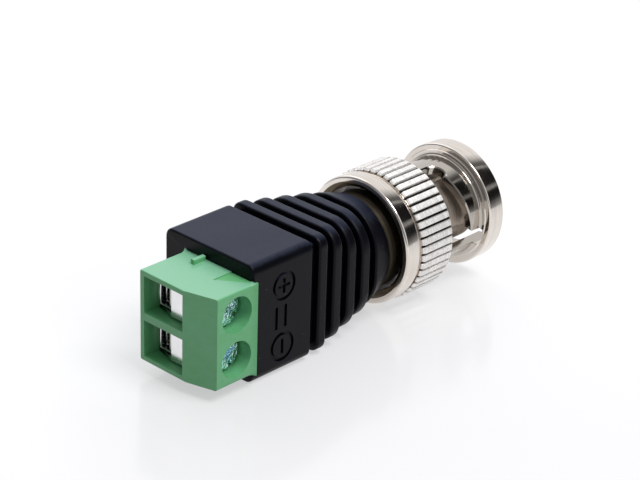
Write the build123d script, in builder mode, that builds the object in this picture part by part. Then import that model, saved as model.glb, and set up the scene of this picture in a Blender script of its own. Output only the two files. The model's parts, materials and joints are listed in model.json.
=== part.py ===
"""Coaxial bayonet plug to two-way screw terminal adapter, in millimetres.

The plug's axis is X, with the mouth towards +X. The origin lies on that axis at the root
of the outer contact. The clamp screws face -Y and the two poles lie along Z.
"""
import os
from math import atan2, cos, degrees, radians, sin, sqrt

from build123d import *

os.makedirs("parts", exist_ok=True)

# Outer contact, centre contact and insulator of the plug
contact_radius = 4.05
contact_wall = 0.6
contact_length = 5.2
contact_tip_chamfer = 0.2
contact_slots = 4
contact_slot_angle = 10
contact_slot_width = 0.45
contact_slot_length = 4.3
contact_undercut = 0.25
pin_radius = 0.675
pin_length = 4.9
pin_tip_length = 0.5
pin_tip_radius = 0.3
pin_shank_radius = 1.0
pin_tail_length = 2.0
solder_cup_radius = 0.55
solder_cup_depth = 1.6
insulator_step = 0.58

# Plug body behind the outer contact
gasket_thickness = 0.7
gasket_overlap = 0.02
gasket_front_gap = 0.05
shoulder_gap = 0.15
shoulder_length = 2.7
flange_thickness = 0.9
shaft_step = 0.2
shaft_length = 4.0
tail_wall = 0.58
tail_length = 5.3

# Ferrule that joins the plug body to the housing
ferrule_gap = 0.5
ferrule_collar_length = 2.55
spigot_wall = 0.9
spigot_length = 3.4
ferrule_chamfer = 0.25

# Bayonet ring, its walls and steps measured outwards from the outer contact
jack_gap = 0.8
neck_wall = 1.0
neck_length = 6.61
mouth_flange_step = 1.3
mouth_flange_length = 2.45
mouth_overhang = 1.46
mouth_chamfer = 0.4
ring_edge_chamfer = 0.18
chamber_gap = 0.15
rear_bore_flare = 0.15
groove_wall = 0.85
groove_length = 0.4
collar_step = 0.45
collar_length = 2.05
collar_round = 0.3
collar_front_chamfer = 0.2
knurl_step = 0.65
knurl_length = 5.0
knurl_chamfer_length = 0.3
knurl_chamfer_depth = 0.25
knurl_count = 48
knurl_groove_width = 0.32
knurl_groove_depth = 0.38

# Bayonet slots in the ring's neck, as angles from +Y towards +Z
lug_channel_width = 2.1
lug_channel_bite = 0.65
lug_channel_corner = 0.7
lug_channel_angle = 200.5
slot_turn_angle = 92.5
slot_pocket_radius = 1.35
slot_pocket_x = 0.52
slot_rear_x = -1.6
ramp_start_x = 1.42
ramp_rise = 1.6
ramp_start_offset = 10.0

# Spring pack in the ring's rear chamber
washer_gap = 0.15
washer_width = 1.3
spring_height = 1.2
spring_strip = 0.3
thrust_thickness = 0.4
snap_thickness = 0.7
snap_clearance = 0.65
snap_bite = 0.3
snap_gap = 2.6

# Housing
nose_step = 0.3
nose_length = 2.66
nose_corner_share = 0.85
block_growth_y = 0.67
block_growth_z = 0.9
housing_corner = 1.0
housing_block_length = 8.65
rib_count = 4
rib_groove_width = 1.0
rib_width = 1.335
rib_groove_depth = 0.8
rib_chamfer = 0.22
rib_taper_y = 0.11
rib_taper_z = 0.14
rib_first_corner = 1.3
rib_corner_growth = 0.93
lead_channel_step = 0.35

# Terminal block
block_depth = 6.48
block_wall = 0.56
block_side_y = 3.35
block_bevel_depth = 1.08
block_bevel_wall = 0.08
block_edge_chamfer = 0.3
block_lip_step = 0.25
block_lip_length = 0.6
screw_face_step = 0.44
tongue_depth = 2.2
tongue_step = 0.3
tongue_near_step = 1.81
tongue_far_step = 0.15
pole_pitch = 5.08
screw_hole_step = 0.06
entry_web = 0.44
entry_near_y = -3.05
entry_far_wall = 0.63
entry_rear_gap = 0.28
dovetail_y = 0.5
dovetail_top = 0.5
dovetail_foot = 0.4
dovetail_height = 0.35
dovetail_length = 2.7

# Clamp screws, with the head's outer face measured from the screw face
screw_head_recess = 1.6
screw_head_gap = 0.19
screw_head_height = 0.95
screw_head_chamfer = 0.2
screw_shank_step = 0.4
screw_drive_width = 0.55
screw_drive_edge = 0.4
screw_drive_depth = 0.55

# Clamp cages and contact strips
cage_travel = 1.15
cage_gap = 0.2
cage_side_wall = 0.4
cage_near_wall = 1.75
cage_far_gap = 0.12
cage_far_wall = 0.4
cage_front_from_end = 1.2
cage_slant = 0.65
cage_length = 4.9
cage_hole_margin = 2.28
strip_y = 0.5
strip_thickness = 0.4
strip_edge_step = 0.7
strip_front_from_end = 1.75
strip_tail_half_z = 0.5
strip_tail_length = 1.8

# Leads inside the housing
lead_core_radius = 0.3
lead_insulation_radius = 0.65
lead_bare_start = 1.2
lead_bare_end = 2.4
lead_first_run = 3.2
lead_last_run = 5.75

# Turns in degrees
full_turn = 360
half_turn = full_turn / 2
quarter_turn = full_turn / 4

# Clearances
press_play = 0.03
running_play = 0.05
seat_play = 0.1

# Radii about the plug's axis
contact_bore = contact_radius - contact_wall
insulator_radius = contact_bore - insulator_step
tail_radius = insulator_radius + tail_wall
ring_bore_radius = contact_radius + jack_gap
shoulder_radius = ring_bore_radius - shoulder_gap
gasket_radius = shoulder_radius + gasket_overlap
shaft_radius = shoulder_radius - shaft_step
washer_inner_radius = shaft_radius + washer_gap
washer_outer_radius = washer_inner_radius + washer_width
flange_radius = washer_outer_radius
ring_chamber_radius = washer_outer_radius + chamber_gap
snap_inner_radius = shaft_radius + snap_clearance
snap_outer_radius = ring_chamber_radius + snap_bite
ferrule_radius = ring_chamber_radius - ferrule_gap
spigot_radius = tail_radius + spigot_wall
neck_radius = ring_bore_radius + neck_wall
mouth_flange_radius = neck_radius + mouth_flange_step
lug_channel_radius = neck_radius + lug_channel_bite
groove_radius = ring_chamber_radius + groove_wall
rear_bore_radius = ring_chamber_radius + rear_bore_flare
collar_radius = groove_radius + collar_step
knurl_radius = groove_radius + knurl_step
nose_radius = ferrule_radius + nose_step
lead_channel_radius = spigot_radius + lead_channel_step

# Stations along the plug's axis
shoulder_front_x = -gasket_thickness
flange_front_x = shoulder_front_x - shoulder_length
flange_rear_x = flange_front_x - flange_thickness
shaft_rear_x = flange_rear_x - shaft_length
tail_rear_x = shaft_rear_x - tail_length
pin_tail_x = tail_rear_x - pin_tail_length
nose_front_x = shaft_rear_x - ferrule_collar_length
spigot_rear_x = nose_front_x - spigot_length
mouth_x = contact_length + mouth_overhang
mouth_flange_rear_x = mouth_x - mouth_flange_length
knurl_front_x = mouth_flange_rear_x - neck_length
knurl_rear_x = knurl_front_x - knurl_length
collar_front_x = knurl_rear_x - groove_length
ring_rear_x = collar_front_x - collar_length
spring_rear_x = flange_rear_x - spring_height
thrust_rear_x = spring_rear_x - thrust_thickness
snap_front_x = thrust_rear_x - running_play
snap_rear_x = snap_front_x - snap_thickness
rib_pitch = rib_groove_width + rib_width
nose_rear_x = nose_front_x - nose_length
block_front_x = nose_rear_x - rib_count * rib_pitch - rib_groove_width
housing_rear_x = block_front_x - housing_block_length
terminal_end_x = housing_rear_x - block_depth
tongue_front_x = housing_rear_x + tongue_depth
pocket_front_x = tongue_front_x + seat_play
entry_depth = cage_front_from_end + cage_length + entry_rear_gap
cage_x = terminal_end_x + cage_front_from_end
screw_x = cage_x + cage_length - cage_hole_margin
strip_tail_x = tongue_front_x + strip_tail_length

# Housing and terminal across the axis
housing_half_y = nose_radius + block_growth_y
housing_half_z = nose_radius + block_growth_z
pole_offset = pole_pitch / 2
poles = {"positive": pole_offset, "negative": -pole_offset}
block_bevel_y = entry_near_y - block_bevel_wall
entry_half_z = pole_offset - entry_web
entry_far_y = block_side_y - entry_far_wall
block_half_z = pole_offset + entry_half_z + block_wall
screw_face_y = -(housing_half_y + screw_face_step)
tongue_half_z = block_half_z - tongue_step
tongue_near_y = screw_face_y + tongue_near_step
tongue_far_y = block_side_y - tongue_far_step
tongue_middle_y = (tongue_near_y + tongue_far_y) / 2
screw_hole_radius = entry_half_z - screw_hole_step
head_radius = screw_hole_radius - screw_head_gap
shank_radius = head_radius - screw_shank_step
head_face_y = screw_face_y + screw_head_recess
shank_start_y = head_face_y + screw_head_height
head_seat_y = shank_start_y + running_play
cage_half_z = entry_half_z - cage_gap
cage_near_y = entry_near_y + cage_travel + running_play
cage_far_y = entry_far_y - cage_far_gap
strip_half_z = cage_half_z - strip_edge_step
screw_tip_y = strip_y - strip_thickness / 2 - running_play


def turned(points):
    """Turn a closed outline of (x, radius) points about the plug's axis."""
    with BuildSketch(Plane.XZ) as outline:
        with BuildLine():
            Polyline(*points, close=True)
        make_face()
    revolve(outline.sketch, axis=Axis.X)


def radial_plane(angle):
    """Plane through the plug's axis, whose second axis points out at the angle."""
    across = (0, -sin(radians(angle)), cos(radians(angle)))
    return Plane(origin=(0, 0, 0), x_dir=(1, 0, 0), z_dir=across)


def tangent_plane(angle):
    """Plane along the plug's axis, whose normal points out at the angle."""
    outward = (0, cos(radians(angle)), sin(radians(angle)))
    return Plane(origin=(0, 0, 0), x_dir=(1, 0, 0), z_dir=outward)


def trimmed(points, start, end):
    """Shorten the first and last runs of a route by the given lengths."""
    first, second = Vector(*points[0]), Vector(*points[1])
    last, before = Vector(*points[-1]), Vector(*points[-2])
    new_first = first + (second - first).normalized() * start
    new_last = last + (before - last).normalized() * end
    return [tuple(new_first), *points[1:-1], tuple(new_last)]


# Plug body: slotted outer contact, shoulder, flange and the shaft that carries the ring
with BuildPart() as plug_body:
    turned([
        (contact_length, contact_bore),
        (contact_length, contact_radius - contact_tip_chamfer),
        (contact_length - contact_tip_chamfer, contact_radius),
        (0, contact_radius),
        (0, contact_radius - contact_undercut),
        (shoulder_front_x, contact_radius - contact_undercut),
        (shoulder_front_x, shoulder_radius),
        (flange_front_x, shoulder_radius),
        (flange_front_x, flange_radius),
        (flange_rear_x, flange_radius),
        (flange_rear_x, shaft_radius),
        (shaft_rear_x, shaft_radius),
        (shaft_rear_x, tail_radius),
        (tail_rear_x, tail_radius),
        (tail_rear_x, insulator_radius + press_play),
        (0, insulator_radius + press_play),
        (0, contact_bore),
    ])
    with BuildSketch(Plane.YZ.offset(contact_length - contact_slot_length)):
        with PolarLocations((contact_radius + contact_bore) / 2, contact_slots, contact_slot_angle):
            Rectangle(contact_wall * 2, contact_slot_width)
    extrude(amount=contact_slot_length, mode=Mode.SUBTRACT)
plug_body.part.label = "plug_body"
export_step(plug_body.part, "parts/plug_body.step")

# Rubber washer in the undercut at the foot of the outer contact
with BuildPart() as sealing_gasket:
    with BuildSketch(Plane.YZ.offset(shoulder_front_x)):
        Circle(gasket_radius)
        Circle(contact_radius - contact_undercut, mode=Mode.SUBTRACT)
    extrude(amount=gasket_thickness - gasket_front_gap)
sealing_gasket.part.label = "sealing_gasket"
export_step(sealing_gasket.part, "parts/sealing_gasket.step")

# Dielectric sleeve that centres the pin
with BuildPart() as centre_insulator:
    with BuildSketch(Plane.YZ):
        Circle(insulator_radius)
        Circle(pin_shank_radius + press_play, mode=Mode.SUBTRACT)
    extrude(amount=tail_rear_x)
centre_insulator.part.label = "centre_insulator"
export_step(centre_insulator.part, "parts/centre_insulator.step")

# Pin with a tapered tip, and a solder cup on its tail
with BuildPart() as centre_contact:
    turned([
        (pin_tail_x, 0),
        (pin_tail_x, pin_shank_radius),
        (0, pin_shank_radius),
        (0, pin_radius),
        (pin_length - pin_tip_length, pin_radius),
        (pin_length, pin_tip_radius),
        (pin_length, 0),
    ])
    with Locations(Plane.YZ.offset(pin_tail_x)):
        Cylinder(
            solder_cup_radius,
            solder_cup_depth,
            align=(Align.CENTER, Align.CENTER, Align.MIN),
            mode=Mode.SUBTRACT,
        )
centre_contact.part.label = "centre_contact"
export_step(centre_contact.part, "parts/centre_contact.step")

# Ferrule: a collar in front of the housing's nose and a spigot inside it
with BuildPart() as rear_ferrule:
    turned([
        (shaft_rear_x, tail_radius + press_play),
        (shaft_rear_x, ferrule_radius - ferrule_chamfer),
        (shaft_rear_x - ferrule_chamfer, ferrule_radius),
        (nose_front_x, ferrule_radius),
        (nose_front_x, spigot_radius),
        (spigot_rear_x, spigot_radius),
        (spigot_rear_x, tail_radius + press_play),
    ])
rear_ferrule.part.label = "rear_ferrule"
export_step(rear_ferrule.part, "parts/rear_ferrule.step")

# One bayonet slot: a quarter turn of ramp from the lug channel to the resting pocket
pocket_angle = lug_channel_angle - slot_turn_angle
ramp_start_angle = pocket_angle + ramp_start_offset
ramp_turn = lug_channel_angle - ramp_start_angle
pocket_half_angle = degrees(slot_pocket_radius / neck_radius)
channel_half_angle = degrees(lug_channel_width / 2 / neck_radius)
slot_first_angle = pocket_angle - pocket_half_angle
slot_sector = lug_channel_angle + channel_half_angle - slot_first_angle
ramp_band = ramp_start_x - slot_rear_x - ring_edge_chamfer
ramp_line_radius = (ring_bore_radius + neck_radius) / 2
cutter_reach = mouth_flange_radius
with BuildPart() as slot_void:
    with BuildSketch(radial_plane(slot_first_angle)):
        with Locations(((slot_rear_x + slot_pocket_x) / 2, cutter_reach / 2)):
            Rectangle(slot_pocket_x - slot_rear_x, cutter_reach)
    revolve(axis=Axis.X, revolution_arc=slot_sector)
    with BuildSketch(tangent_plane(pocket_angle)):
        with Locations((slot_pocket_x, 0)):
            Circle(slot_pocket_radius)
    extrude(amount=cutter_reach)
    ramp_line = Helix(
        pitch=ramp_rise * full_turn / ramp_turn,
        height=ramp_rise,
        radius=ramp_line_radius,
        center=(ramp_start_x - ramp_band / 2, 0, 0),
        direction=(1, 0, 0),
    ).rotate(Axis.X, ramp_start_angle - quarter_turn)
    with BuildSketch(Plane(origin=ramp_line @ 0, x_dir=(1, 0, 0), z_dir=ramp_line % 0)):
        Rectangle(ramp_band, neck_radius)
    sweep(path=ramp_line, is_frenet=True)

# Bayonet ring: rolled collar, straight knurl, slotted neck and mouth flange
collar_round_step = collar_round * (1 - 1 / sqrt(2))
with BuildPart() as coupling_ring:
    turned([
        (ring_rear_x, rear_bore_radius),
        (ring_rear_x, collar_radius - collar_round),
        (ring_rear_x + collar_round_step, collar_radius - collar_round_step),
        (ring_rear_x + collar_round, collar_radius),
        (collar_front_x - collar_front_chamfer, collar_radius),
        (collar_front_x, collar_radius - collar_front_chamfer),
        (collar_front_x, groove_radius),
        (knurl_rear_x, groove_radius),
        (knurl_rear_x, knurl_radius - knurl_chamfer_depth),
        (knurl_rear_x + knurl_chamfer_length, knurl_radius),
        (knurl_front_x - knurl_chamfer_length, knurl_radius),
        (knurl_front_x, knurl_radius - knurl_chamfer_depth),
        (knurl_front_x, neck_radius),
        (mouth_flange_rear_x, neck_radius),
        (mouth_flange_rear_x, mouth_flange_radius - ring_edge_chamfer),
        (mouth_flange_rear_x + ring_edge_chamfer, mouth_flange_radius),
        (mouth_x - ring_edge_chamfer, mouth_flange_radius),
        (mouth_x, mouth_flange_radius - ring_edge_chamfer),
        (mouth_x, ring_bore_radius + mouth_chamfer),
        (mouth_x - mouth_chamfer, ring_bore_radius),
        (flange_front_x, ring_bore_radius),
        (flange_front_x, ring_chamber_radius),
        (snap_front_x + running_play, ring_chamber_radius),
        (snap_front_x + running_play, snap_outer_radius + running_play),
        (snap_rear_x - running_play, snap_outer_radius + running_play),
        (snap_rear_x - running_play, ring_chamber_radius),
        (ring_rear_x + rear_bore_radius - ring_chamber_radius, ring_chamber_radius),
    ])
    with BuildSketch(Plane.YZ.offset(knurl_rear_x)):
        with PolarLocations(knurl_radius, knurl_count):
            Rectangle(2 * knurl_groove_depth, knurl_groove_width)
    extrude(amount=knurl_length, mode=Mode.SUBTRACT)
    with BuildSketch(Plane.YZ.offset(slot_rear_x)):
        with PolarLocations(lug_channel_radius / 2, 2, start_angle=lug_channel_angle):
            RectangleRounded(lug_channel_radius, lug_channel_width, lug_channel_corner)
    extrude(amount=mouth_x - slot_rear_x, mode=Mode.SUBTRACT)
    for turn in (0, half_turn):
        add(slot_void.part, rotation=(turn, 0, 0), mode=Mode.SUBTRACT)
coupling_ring.part.label = "coupling_ring"
export_step(coupling_ring.part, "parts/coupling_ring.step")

# Curved spring washer that presses on the body's flange and draws the ring back
spring_sagitta = spring_height - spring_strip
spring_radius = washer_outer_radius - running_play
spring_bend_radius = (spring_radius**2 + spring_sagitta**2) / (2 * spring_sagitta)
with BuildPart() as spring_washer:
    with BuildSketch(Plane.YZ.offset(spring_rear_x)):
        Circle(spring_radius)
        Circle(washer_inner_radius, mode=Mode.SUBTRACT)
    extrude(amount=spring_height)
    with BuildSketch(Plane.XZ):
        with Locations((flange_rear_x - spring_bend_radius, 0)):
            Circle(spring_bend_radius)
            Circle(spring_bend_radius - spring_strip, mode=Mode.SUBTRACT)
    extrude(amount=spring_radius, both=True, mode=Mode.INTERSECT)
spring_washer.part.label = "spring_washer"
export_step(spring_washer.part, "parts/spring_washer.step")

# Flat washer between the spring and the snap ring
with BuildPart() as thrust_washer:
    with BuildSketch(Plane.YZ.offset(thrust_rear_x)):
        Circle(washer_outer_radius)
        Circle(washer_inner_radius, mode=Mode.SUBTRACT)
    extrude(amount=thrust_thickness)
thrust_washer.part.label = "thrust_washer"
export_step(thrust_washer.part, "parts/thrust_washer.step")

# Open snap ring that sits in the groove of the ring's chamber
with BuildPart() as snap_ring:
    with BuildSketch(Plane.YZ.offset(snap_rear_x)):
        Circle(snap_outer_radius)
        Circle(snap_inner_radius, mode=Mode.SUBTRACT)
        with Locations((0, snap_outer_radius)):
            Rectangle(snap_gap, snap_outer_radius, mode=Mode.SUBTRACT)
    extrude(amount=snap_thickness)
snap_ring.part.label = "snap_ring"
export_step(snap_ring.part, "parts/snap_ring.step")

# Housing: square block, ribs that turn from square to round, and a round nose
with BuildPart() as housing:
    with BuildSketch(Plane.YZ.offset(housing_rear_x)):
        RectangleRounded(2 * housing_half_y, 2 * housing_half_z, housing_corner)
    extrude(amount=housing_block_length)
    chamfer(
        housing.faces().sort_by(Axis.X)[-1].outer_wire().edges()
        + housing.faces().sort_by(Axis.X)[0].outer_wire().edges(),
        rib_chamfer,
    )
    for rib in range(rib_count + 1):
        groove_x = block_front_x + rib * rib_pitch
        core_y = housing_half_y - rib_groove_depth - rib_taper_y * rib
        core_z = housing_half_z - rib_groove_depth - rib_taper_z * rib
        core_corner = rib_first_corner + rib_corner_growth * rib - rib_groove_depth / 2
        with BuildSketch(Plane.YZ.offset(groove_x)):
            RectangleRounded(2 * core_y, 2 * core_z, core_corner)
        extrude(amount=rib_groove_width)
    for rib in range(rib_count):
        rib_x = block_front_x + rib * rib_pitch + rib_groove_width
        rib_y = housing_half_y - rib_taper_y * rib
        rib_z = housing_half_z - rib_taper_z * rib
        with BuildSketch(Plane.YZ.offset(rib_x)):
            RectangleRounded(2 * rib_y, 2 * rib_z, rib_first_corner + rib_corner_growth * rib)
        extrude(amount=rib_width)
        rib_sides = housing.faces(Select.LAST).filter_by(
            lambda face: abs(face.normal_at().X) < press_play
        )
        rib_rims = rib_sides.edges().filter_by(
            lambda edge: abs(edge.tangent_at(0.5).X) < press_play
        )
        chamfer(rib_rims, rib_chamfer)
    with BuildSketch(Plane.YZ.offset(nose_rear_x)):
        RectangleRounded(
            2 * (housing_half_y - rib_taper_y * rib_count),
            2 * (housing_half_z - rib_taper_z * rib_count),
            nose_corner_share * nose_radius,
        )
    with BuildSketch(Plane.YZ.offset(nose_front_x)):
        RectangleRounded(2 * nose_radius, 2 * nose_radius, nose_radius - press_play)
    loft()
    with BuildSketch(Plane.YZ.offset(housing_rear_x)):
        with Locations((tongue_middle_y, 0)):
            Rectangle(
                tongue_far_y - tongue_near_y + 2 * seat_play,
                2 * (tongue_half_z + seat_play),
            )
    extrude(amount=pocket_front_x - housing_rear_x, mode=Mode.SUBTRACT)
    with BuildSketch(Plane.YZ.offset(pocket_front_x)):
        Circle(lead_channel_radius)
    extrude(amount=nose_front_x - pocket_front_x, mode=Mode.SUBTRACT)
    with BuildSketch(Plane.YZ.offset(spigot_rear_x - press_play)):
        Circle(spigot_radius + press_play)
    extrude(amount=spigot_length + press_play, mode=Mode.SUBTRACT)
housing.part.label = "housing"
export_step(housing.part, "parts/housing.step")

# Terminal block: bevelled body with a lip at its rear and a tongue, two wire entries
# and two screw holes
with BuildPart() as terminal_body:
    with BuildSketch(Plane.XY.offset(-block_half_z)):
        with BuildLine():
            Polyline(
                (terminal_end_x, block_side_y),
                (terminal_end_x, block_bevel_y),
                (terminal_end_x + block_bevel_depth, screw_face_y),
                (housing_rear_x - block_lip_length, screw_face_y),
                (housing_rear_x, screw_face_y - block_lip_step),
                (housing_rear_x, block_side_y + block_lip_step),
                (housing_rear_x - block_lip_length, block_side_y),
                close=True,
            )
        make_face()
    extrude(amount=2 * block_half_z)
    chamfer(
        terminal_body.edges()
        .filter_by(Axis.X)
        .filter_by(lambda edge: edge.center().Y < block_bevel_y),
        block_edge_chamfer,
    )
    with BuildSketch(Plane.YZ.offset(housing_rear_x)):
        with Locations((tongue_middle_y, 0)):
            Rectangle(tongue_far_y - tongue_near_y, 2 * tongue_half_z)
    extrude(amount=tongue_depth)
    with BuildSketch(Plane.YZ.offset(housing_rear_x)):
        with Locations((dovetail_y, block_half_z)):
            Trapezoid(
                dovetail_top,
                dovetail_height,
                degrees(atan2(2 * dovetail_height, dovetail_foot - dovetail_top)),
                align=(Align.CENTER, Align.MIN),
            )
    extrude(amount=-dovetail_length)
    with BuildSketch(Plane.YZ.offset(terminal_end_x)):
        for pole_z in poles.values():
            with Locations(((entry_near_y + entry_far_y) / 2, pole_z)):
                Rectangle(entry_far_y - entry_near_y, 2 * entry_half_z)
    extrude(amount=entry_depth, mode=Mode.SUBTRACT)
    with BuildSketch(Plane.XZ.offset(-screw_face_y)):
        for pole_z in poles.values():
            with Locations((screw_x, pole_z)):
                Circle(screw_hole_radius)
    extrude(amount=screw_face_y - head_seat_y, mode=Mode.SUBTRACT)
    with BuildSketch(Plane.XZ.offset(-head_seat_y)):
        for pole_z in poles.values():
            with Locations((screw_x, pole_z)):
                Circle(shank_radius + seat_play)
    extrude(amount=head_seat_y - entry_near_y, mode=Mode.SUBTRACT)
    with BuildSketch(Plane.YZ.offset(terminal_end_x + entry_depth)):
        for pole_z in poles.values():
            with Locations((strip_y, pole_z)):
                Rectangle(
                    strip_thickness + 2 * running_play,
                    2 * (strip_half_z + running_play),
                )
    extrude(amount=tongue_front_x - terminal_end_x - entry_depth, mode=Mode.SUBTRACT)
terminal_body.part.label = "terminal_body"
export_step(terminal_body.part, "parts/terminal_body.step")

# Clamp parts of each pole: screw, rising cage and contact strip
drive_length = 2 * (head_radius - screw_drive_edge)
for pole, pole_z in poles.items():
    with BuildPart() as clamp_screw:
        with BuildSketch(Plane.XZ.offset(-head_face_y)):
            with Locations((screw_x, pole_z)):
                Circle(head_radius)
        extrude(amount=-screw_head_height)
        chamfer(clamp_screw.edges().sort_by(Axis.Y)[0], screw_head_chamfer)
        with BuildSketch(Plane.XZ.offset(-shank_start_y)):
            with Locations((screw_x, pole_z)):
                Circle(shank_radius)
        extrude(amount=shank_start_y - screw_tip_y)
        with BuildSketch(Plane.XZ.offset(-head_face_y)):
            with Locations((screw_x, pole_z)):
                Rectangle(drive_length, screw_drive_width)
                Rectangle(screw_drive_width, drive_length)
        extrude(amount=-screw_drive_depth, mode=Mode.SUBTRACT)
    clamp_screw.part.label = f"clamp_screw_{pole}"
    export_step(clamp_screw.part, f"parts/clamp_screw_{pole}.step")

    with BuildPart() as clamp_cage:
        with BuildSketch(Plane.XY.offset(pole_z - cage_half_z)):
            with BuildLine():
                Polyline(
                    (cage_x, cage_near_y),
                    (cage_x + cage_length, cage_near_y),
                    (cage_x + cage_length, cage_far_y),
                    (cage_x + cage_slant, cage_far_y),
                    (cage_x, cage_near_y + cage_near_wall),
                    close=True,
                )
            make_face()
        extrude(amount=2 * cage_half_z)
        with BuildSketch(Plane.YZ.offset(cage_x)):
            hollow_near_y = cage_near_y + cage_near_wall
            hollow_far_y = cage_far_y - cage_far_wall
            with Locations(((hollow_near_y + hollow_far_y) / 2, pole_z)):
                Rectangle(hollow_far_y - hollow_near_y, 2 * (cage_half_z - cage_side_wall))
        extrude(amount=cage_length, mode=Mode.SUBTRACT)
        with BuildSketch(Plane.XZ.offset(-cage_near_y)):
            with Locations((screw_x, pole_z)):
                Circle(shank_radius + running_play)
        extrude(amount=-cage_near_wall, mode=Mode.SUBTRACT)
    clamp_cage.part.label = f"clamp_cage_{pole}"
    export_step(clamp_cage.part, f"parts/clamp_cage_{pole}.step")

    with BuildPart() as contact_strip:
        with BuildSketch(Plane.YZ.offset(terminal_end_x + strip_front_from_end)):
            with Locations((strip_y, pole_z)):
                Rectangle(strip_thickness, 2 * strip_half_z)
        extrude(amount=tongue_front_x - terminal_end_x - strip_front_from_end)
        with BuildSketch(Plane.YZ.offset(tongue_front_x)):
            with Locations((strip_y, pole_z)):
                Rectangle(strip_thickness, 2 * strip_tail_half_z)
        extrude(amount=strip_tail_length)
    contact_strip.part.label = f"contact_strip_{pole}"
    export_step(contact_strip.part, f"parts/contact_strip_{pole}.step")

# Leads from the strips' tails to the solder cup and to the ferrule's rear rim
ferrule_rim_z = -(tail_radius + spigot_radius) / 2
lead_start = (strip_tail_x, strip_y)
routes = {
    "signal_lead": [
        (*lead_start, pole_offset),
        (strip_tail_x + lead_first_run, strip_y, pole_offset),
        (spigot_rear_x - lead_last_run, 0, 0),
        (pin_tail_x + solder_cup_depth, 0, 0),
    ],
    "ground_lead": [
        (*lead_start, -pole_offset),
        (strip_tail_x + lead_first_run, strip_y, -pole_offset),
        (spigot_rear_x - lead_last_run, 0, ferrule_rim_z),
        (spigot_rear_x, 0, ferrule_rim_z),
    ],
}
for lead, route in routes.items():
    with BuildPart() as lead_core:
        with BuildLine() as core_line:
            Polyline(*route)
        with BuildSketch(Plane(origin=core_line.line @ 0, z_dir=core_line.line % 0)):
            Circle(lead_core_radius)
        sweep(path=core_line.line, transition=Transition.RIGHT)
    lead_core.part.label = f"{lead}_core"
    export_step(lead_core.part, f"parts/{lead}_core.step")

    with BuildPart() as lead_insulation:
        with BuildLine() as insulation_line:
            Polyline(*trimmed(route, lead_bare_start, lead_bare_end))
        with BuildSketch(Plane(origin=insulation_line.line @ 0, z_dir=insulation_line.line % 0)):
            Circle(lead_insulation_radius)
            Circle(lead_core_radius, mode=Mode.SUBTRACT)
        sweep(path=insulation_line.line, transition=Transition.RIGHT)
    lead_insulation.part.label = f"{lead}_insulation"
    export_step(lead_insulation.part, f"parts/{lead}_insulation.step")
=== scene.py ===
"""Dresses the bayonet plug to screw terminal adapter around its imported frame.

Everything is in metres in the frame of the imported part: the plug's axis is X with the
mouth towards +X, the clamp screws face -Y, and the two poles lie along Z. Sizes in the
classes below are in millimetres, and the mesh helpers scale them.
"""
import json
import logging
import math
from collections.abc import Callable, Sequence
from dataclasses import dataclass, field
from enum import Enum

import bmesh
import bpy
from mathutils import Matrix, Vector
from mathutils.geometry import delaunay_2d_cdt

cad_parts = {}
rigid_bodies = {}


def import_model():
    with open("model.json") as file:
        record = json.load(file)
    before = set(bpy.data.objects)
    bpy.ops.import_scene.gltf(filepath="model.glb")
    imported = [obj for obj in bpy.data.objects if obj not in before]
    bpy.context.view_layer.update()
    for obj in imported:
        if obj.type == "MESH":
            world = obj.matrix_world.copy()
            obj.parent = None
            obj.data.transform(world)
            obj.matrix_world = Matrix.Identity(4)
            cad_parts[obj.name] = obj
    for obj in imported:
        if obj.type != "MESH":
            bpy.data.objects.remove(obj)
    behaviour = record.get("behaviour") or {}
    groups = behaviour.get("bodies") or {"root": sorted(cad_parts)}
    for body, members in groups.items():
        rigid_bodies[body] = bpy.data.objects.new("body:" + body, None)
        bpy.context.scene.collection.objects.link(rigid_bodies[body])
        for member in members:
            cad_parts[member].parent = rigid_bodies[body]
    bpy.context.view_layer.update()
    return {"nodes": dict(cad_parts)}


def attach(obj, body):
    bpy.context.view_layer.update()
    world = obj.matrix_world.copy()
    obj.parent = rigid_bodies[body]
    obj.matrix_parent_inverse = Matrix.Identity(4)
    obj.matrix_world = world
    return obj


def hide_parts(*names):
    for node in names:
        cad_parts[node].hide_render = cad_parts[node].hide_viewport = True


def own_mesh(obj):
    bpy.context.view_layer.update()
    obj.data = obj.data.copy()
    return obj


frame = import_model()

MM = 0.001
FULL_TURN = 2 * math.pi
ON_AXIS = 1e-6
SHARP_ANGLE = math.radians(32)
BEVEL_ANGLE = math.radians(40)
JOINING = MM / 2000
CORNER_STEPS = 12
RIM_STEPS = 4

log = logging.getLogger("adapter")

Point2 = tuple[float, float]
Point3 = tuple[float, float, float]
Corner = tuple[float, float, float]
Color = tuple[float, float, float]
Row = list[Point3]
Piece = bpy.types.Object
Socket = bpy.types.NodeSocket
SQUARE = ((-1, -1), (1, -1), (1, 1), (-1, 1))


class Body(Enum):
    """The rigid bodies that new pieces ride on."""

    ADAPTER = "adapter"
    RING = "ring"
    SCREW_POSITIVE = "screw_positive"
    SCREW_NEGATIVE = "screw_negative"


class Pole(Enum):
    """The two poles of the terminal, with their heights along Z in millimetres."""

    POSITIVE = 2.54
    NEGATIVE = -2.54

    @property
    def label(self) -> str:
        """Lower-case name of the pole."""
        return self.name.lower()


# Outlines


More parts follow.
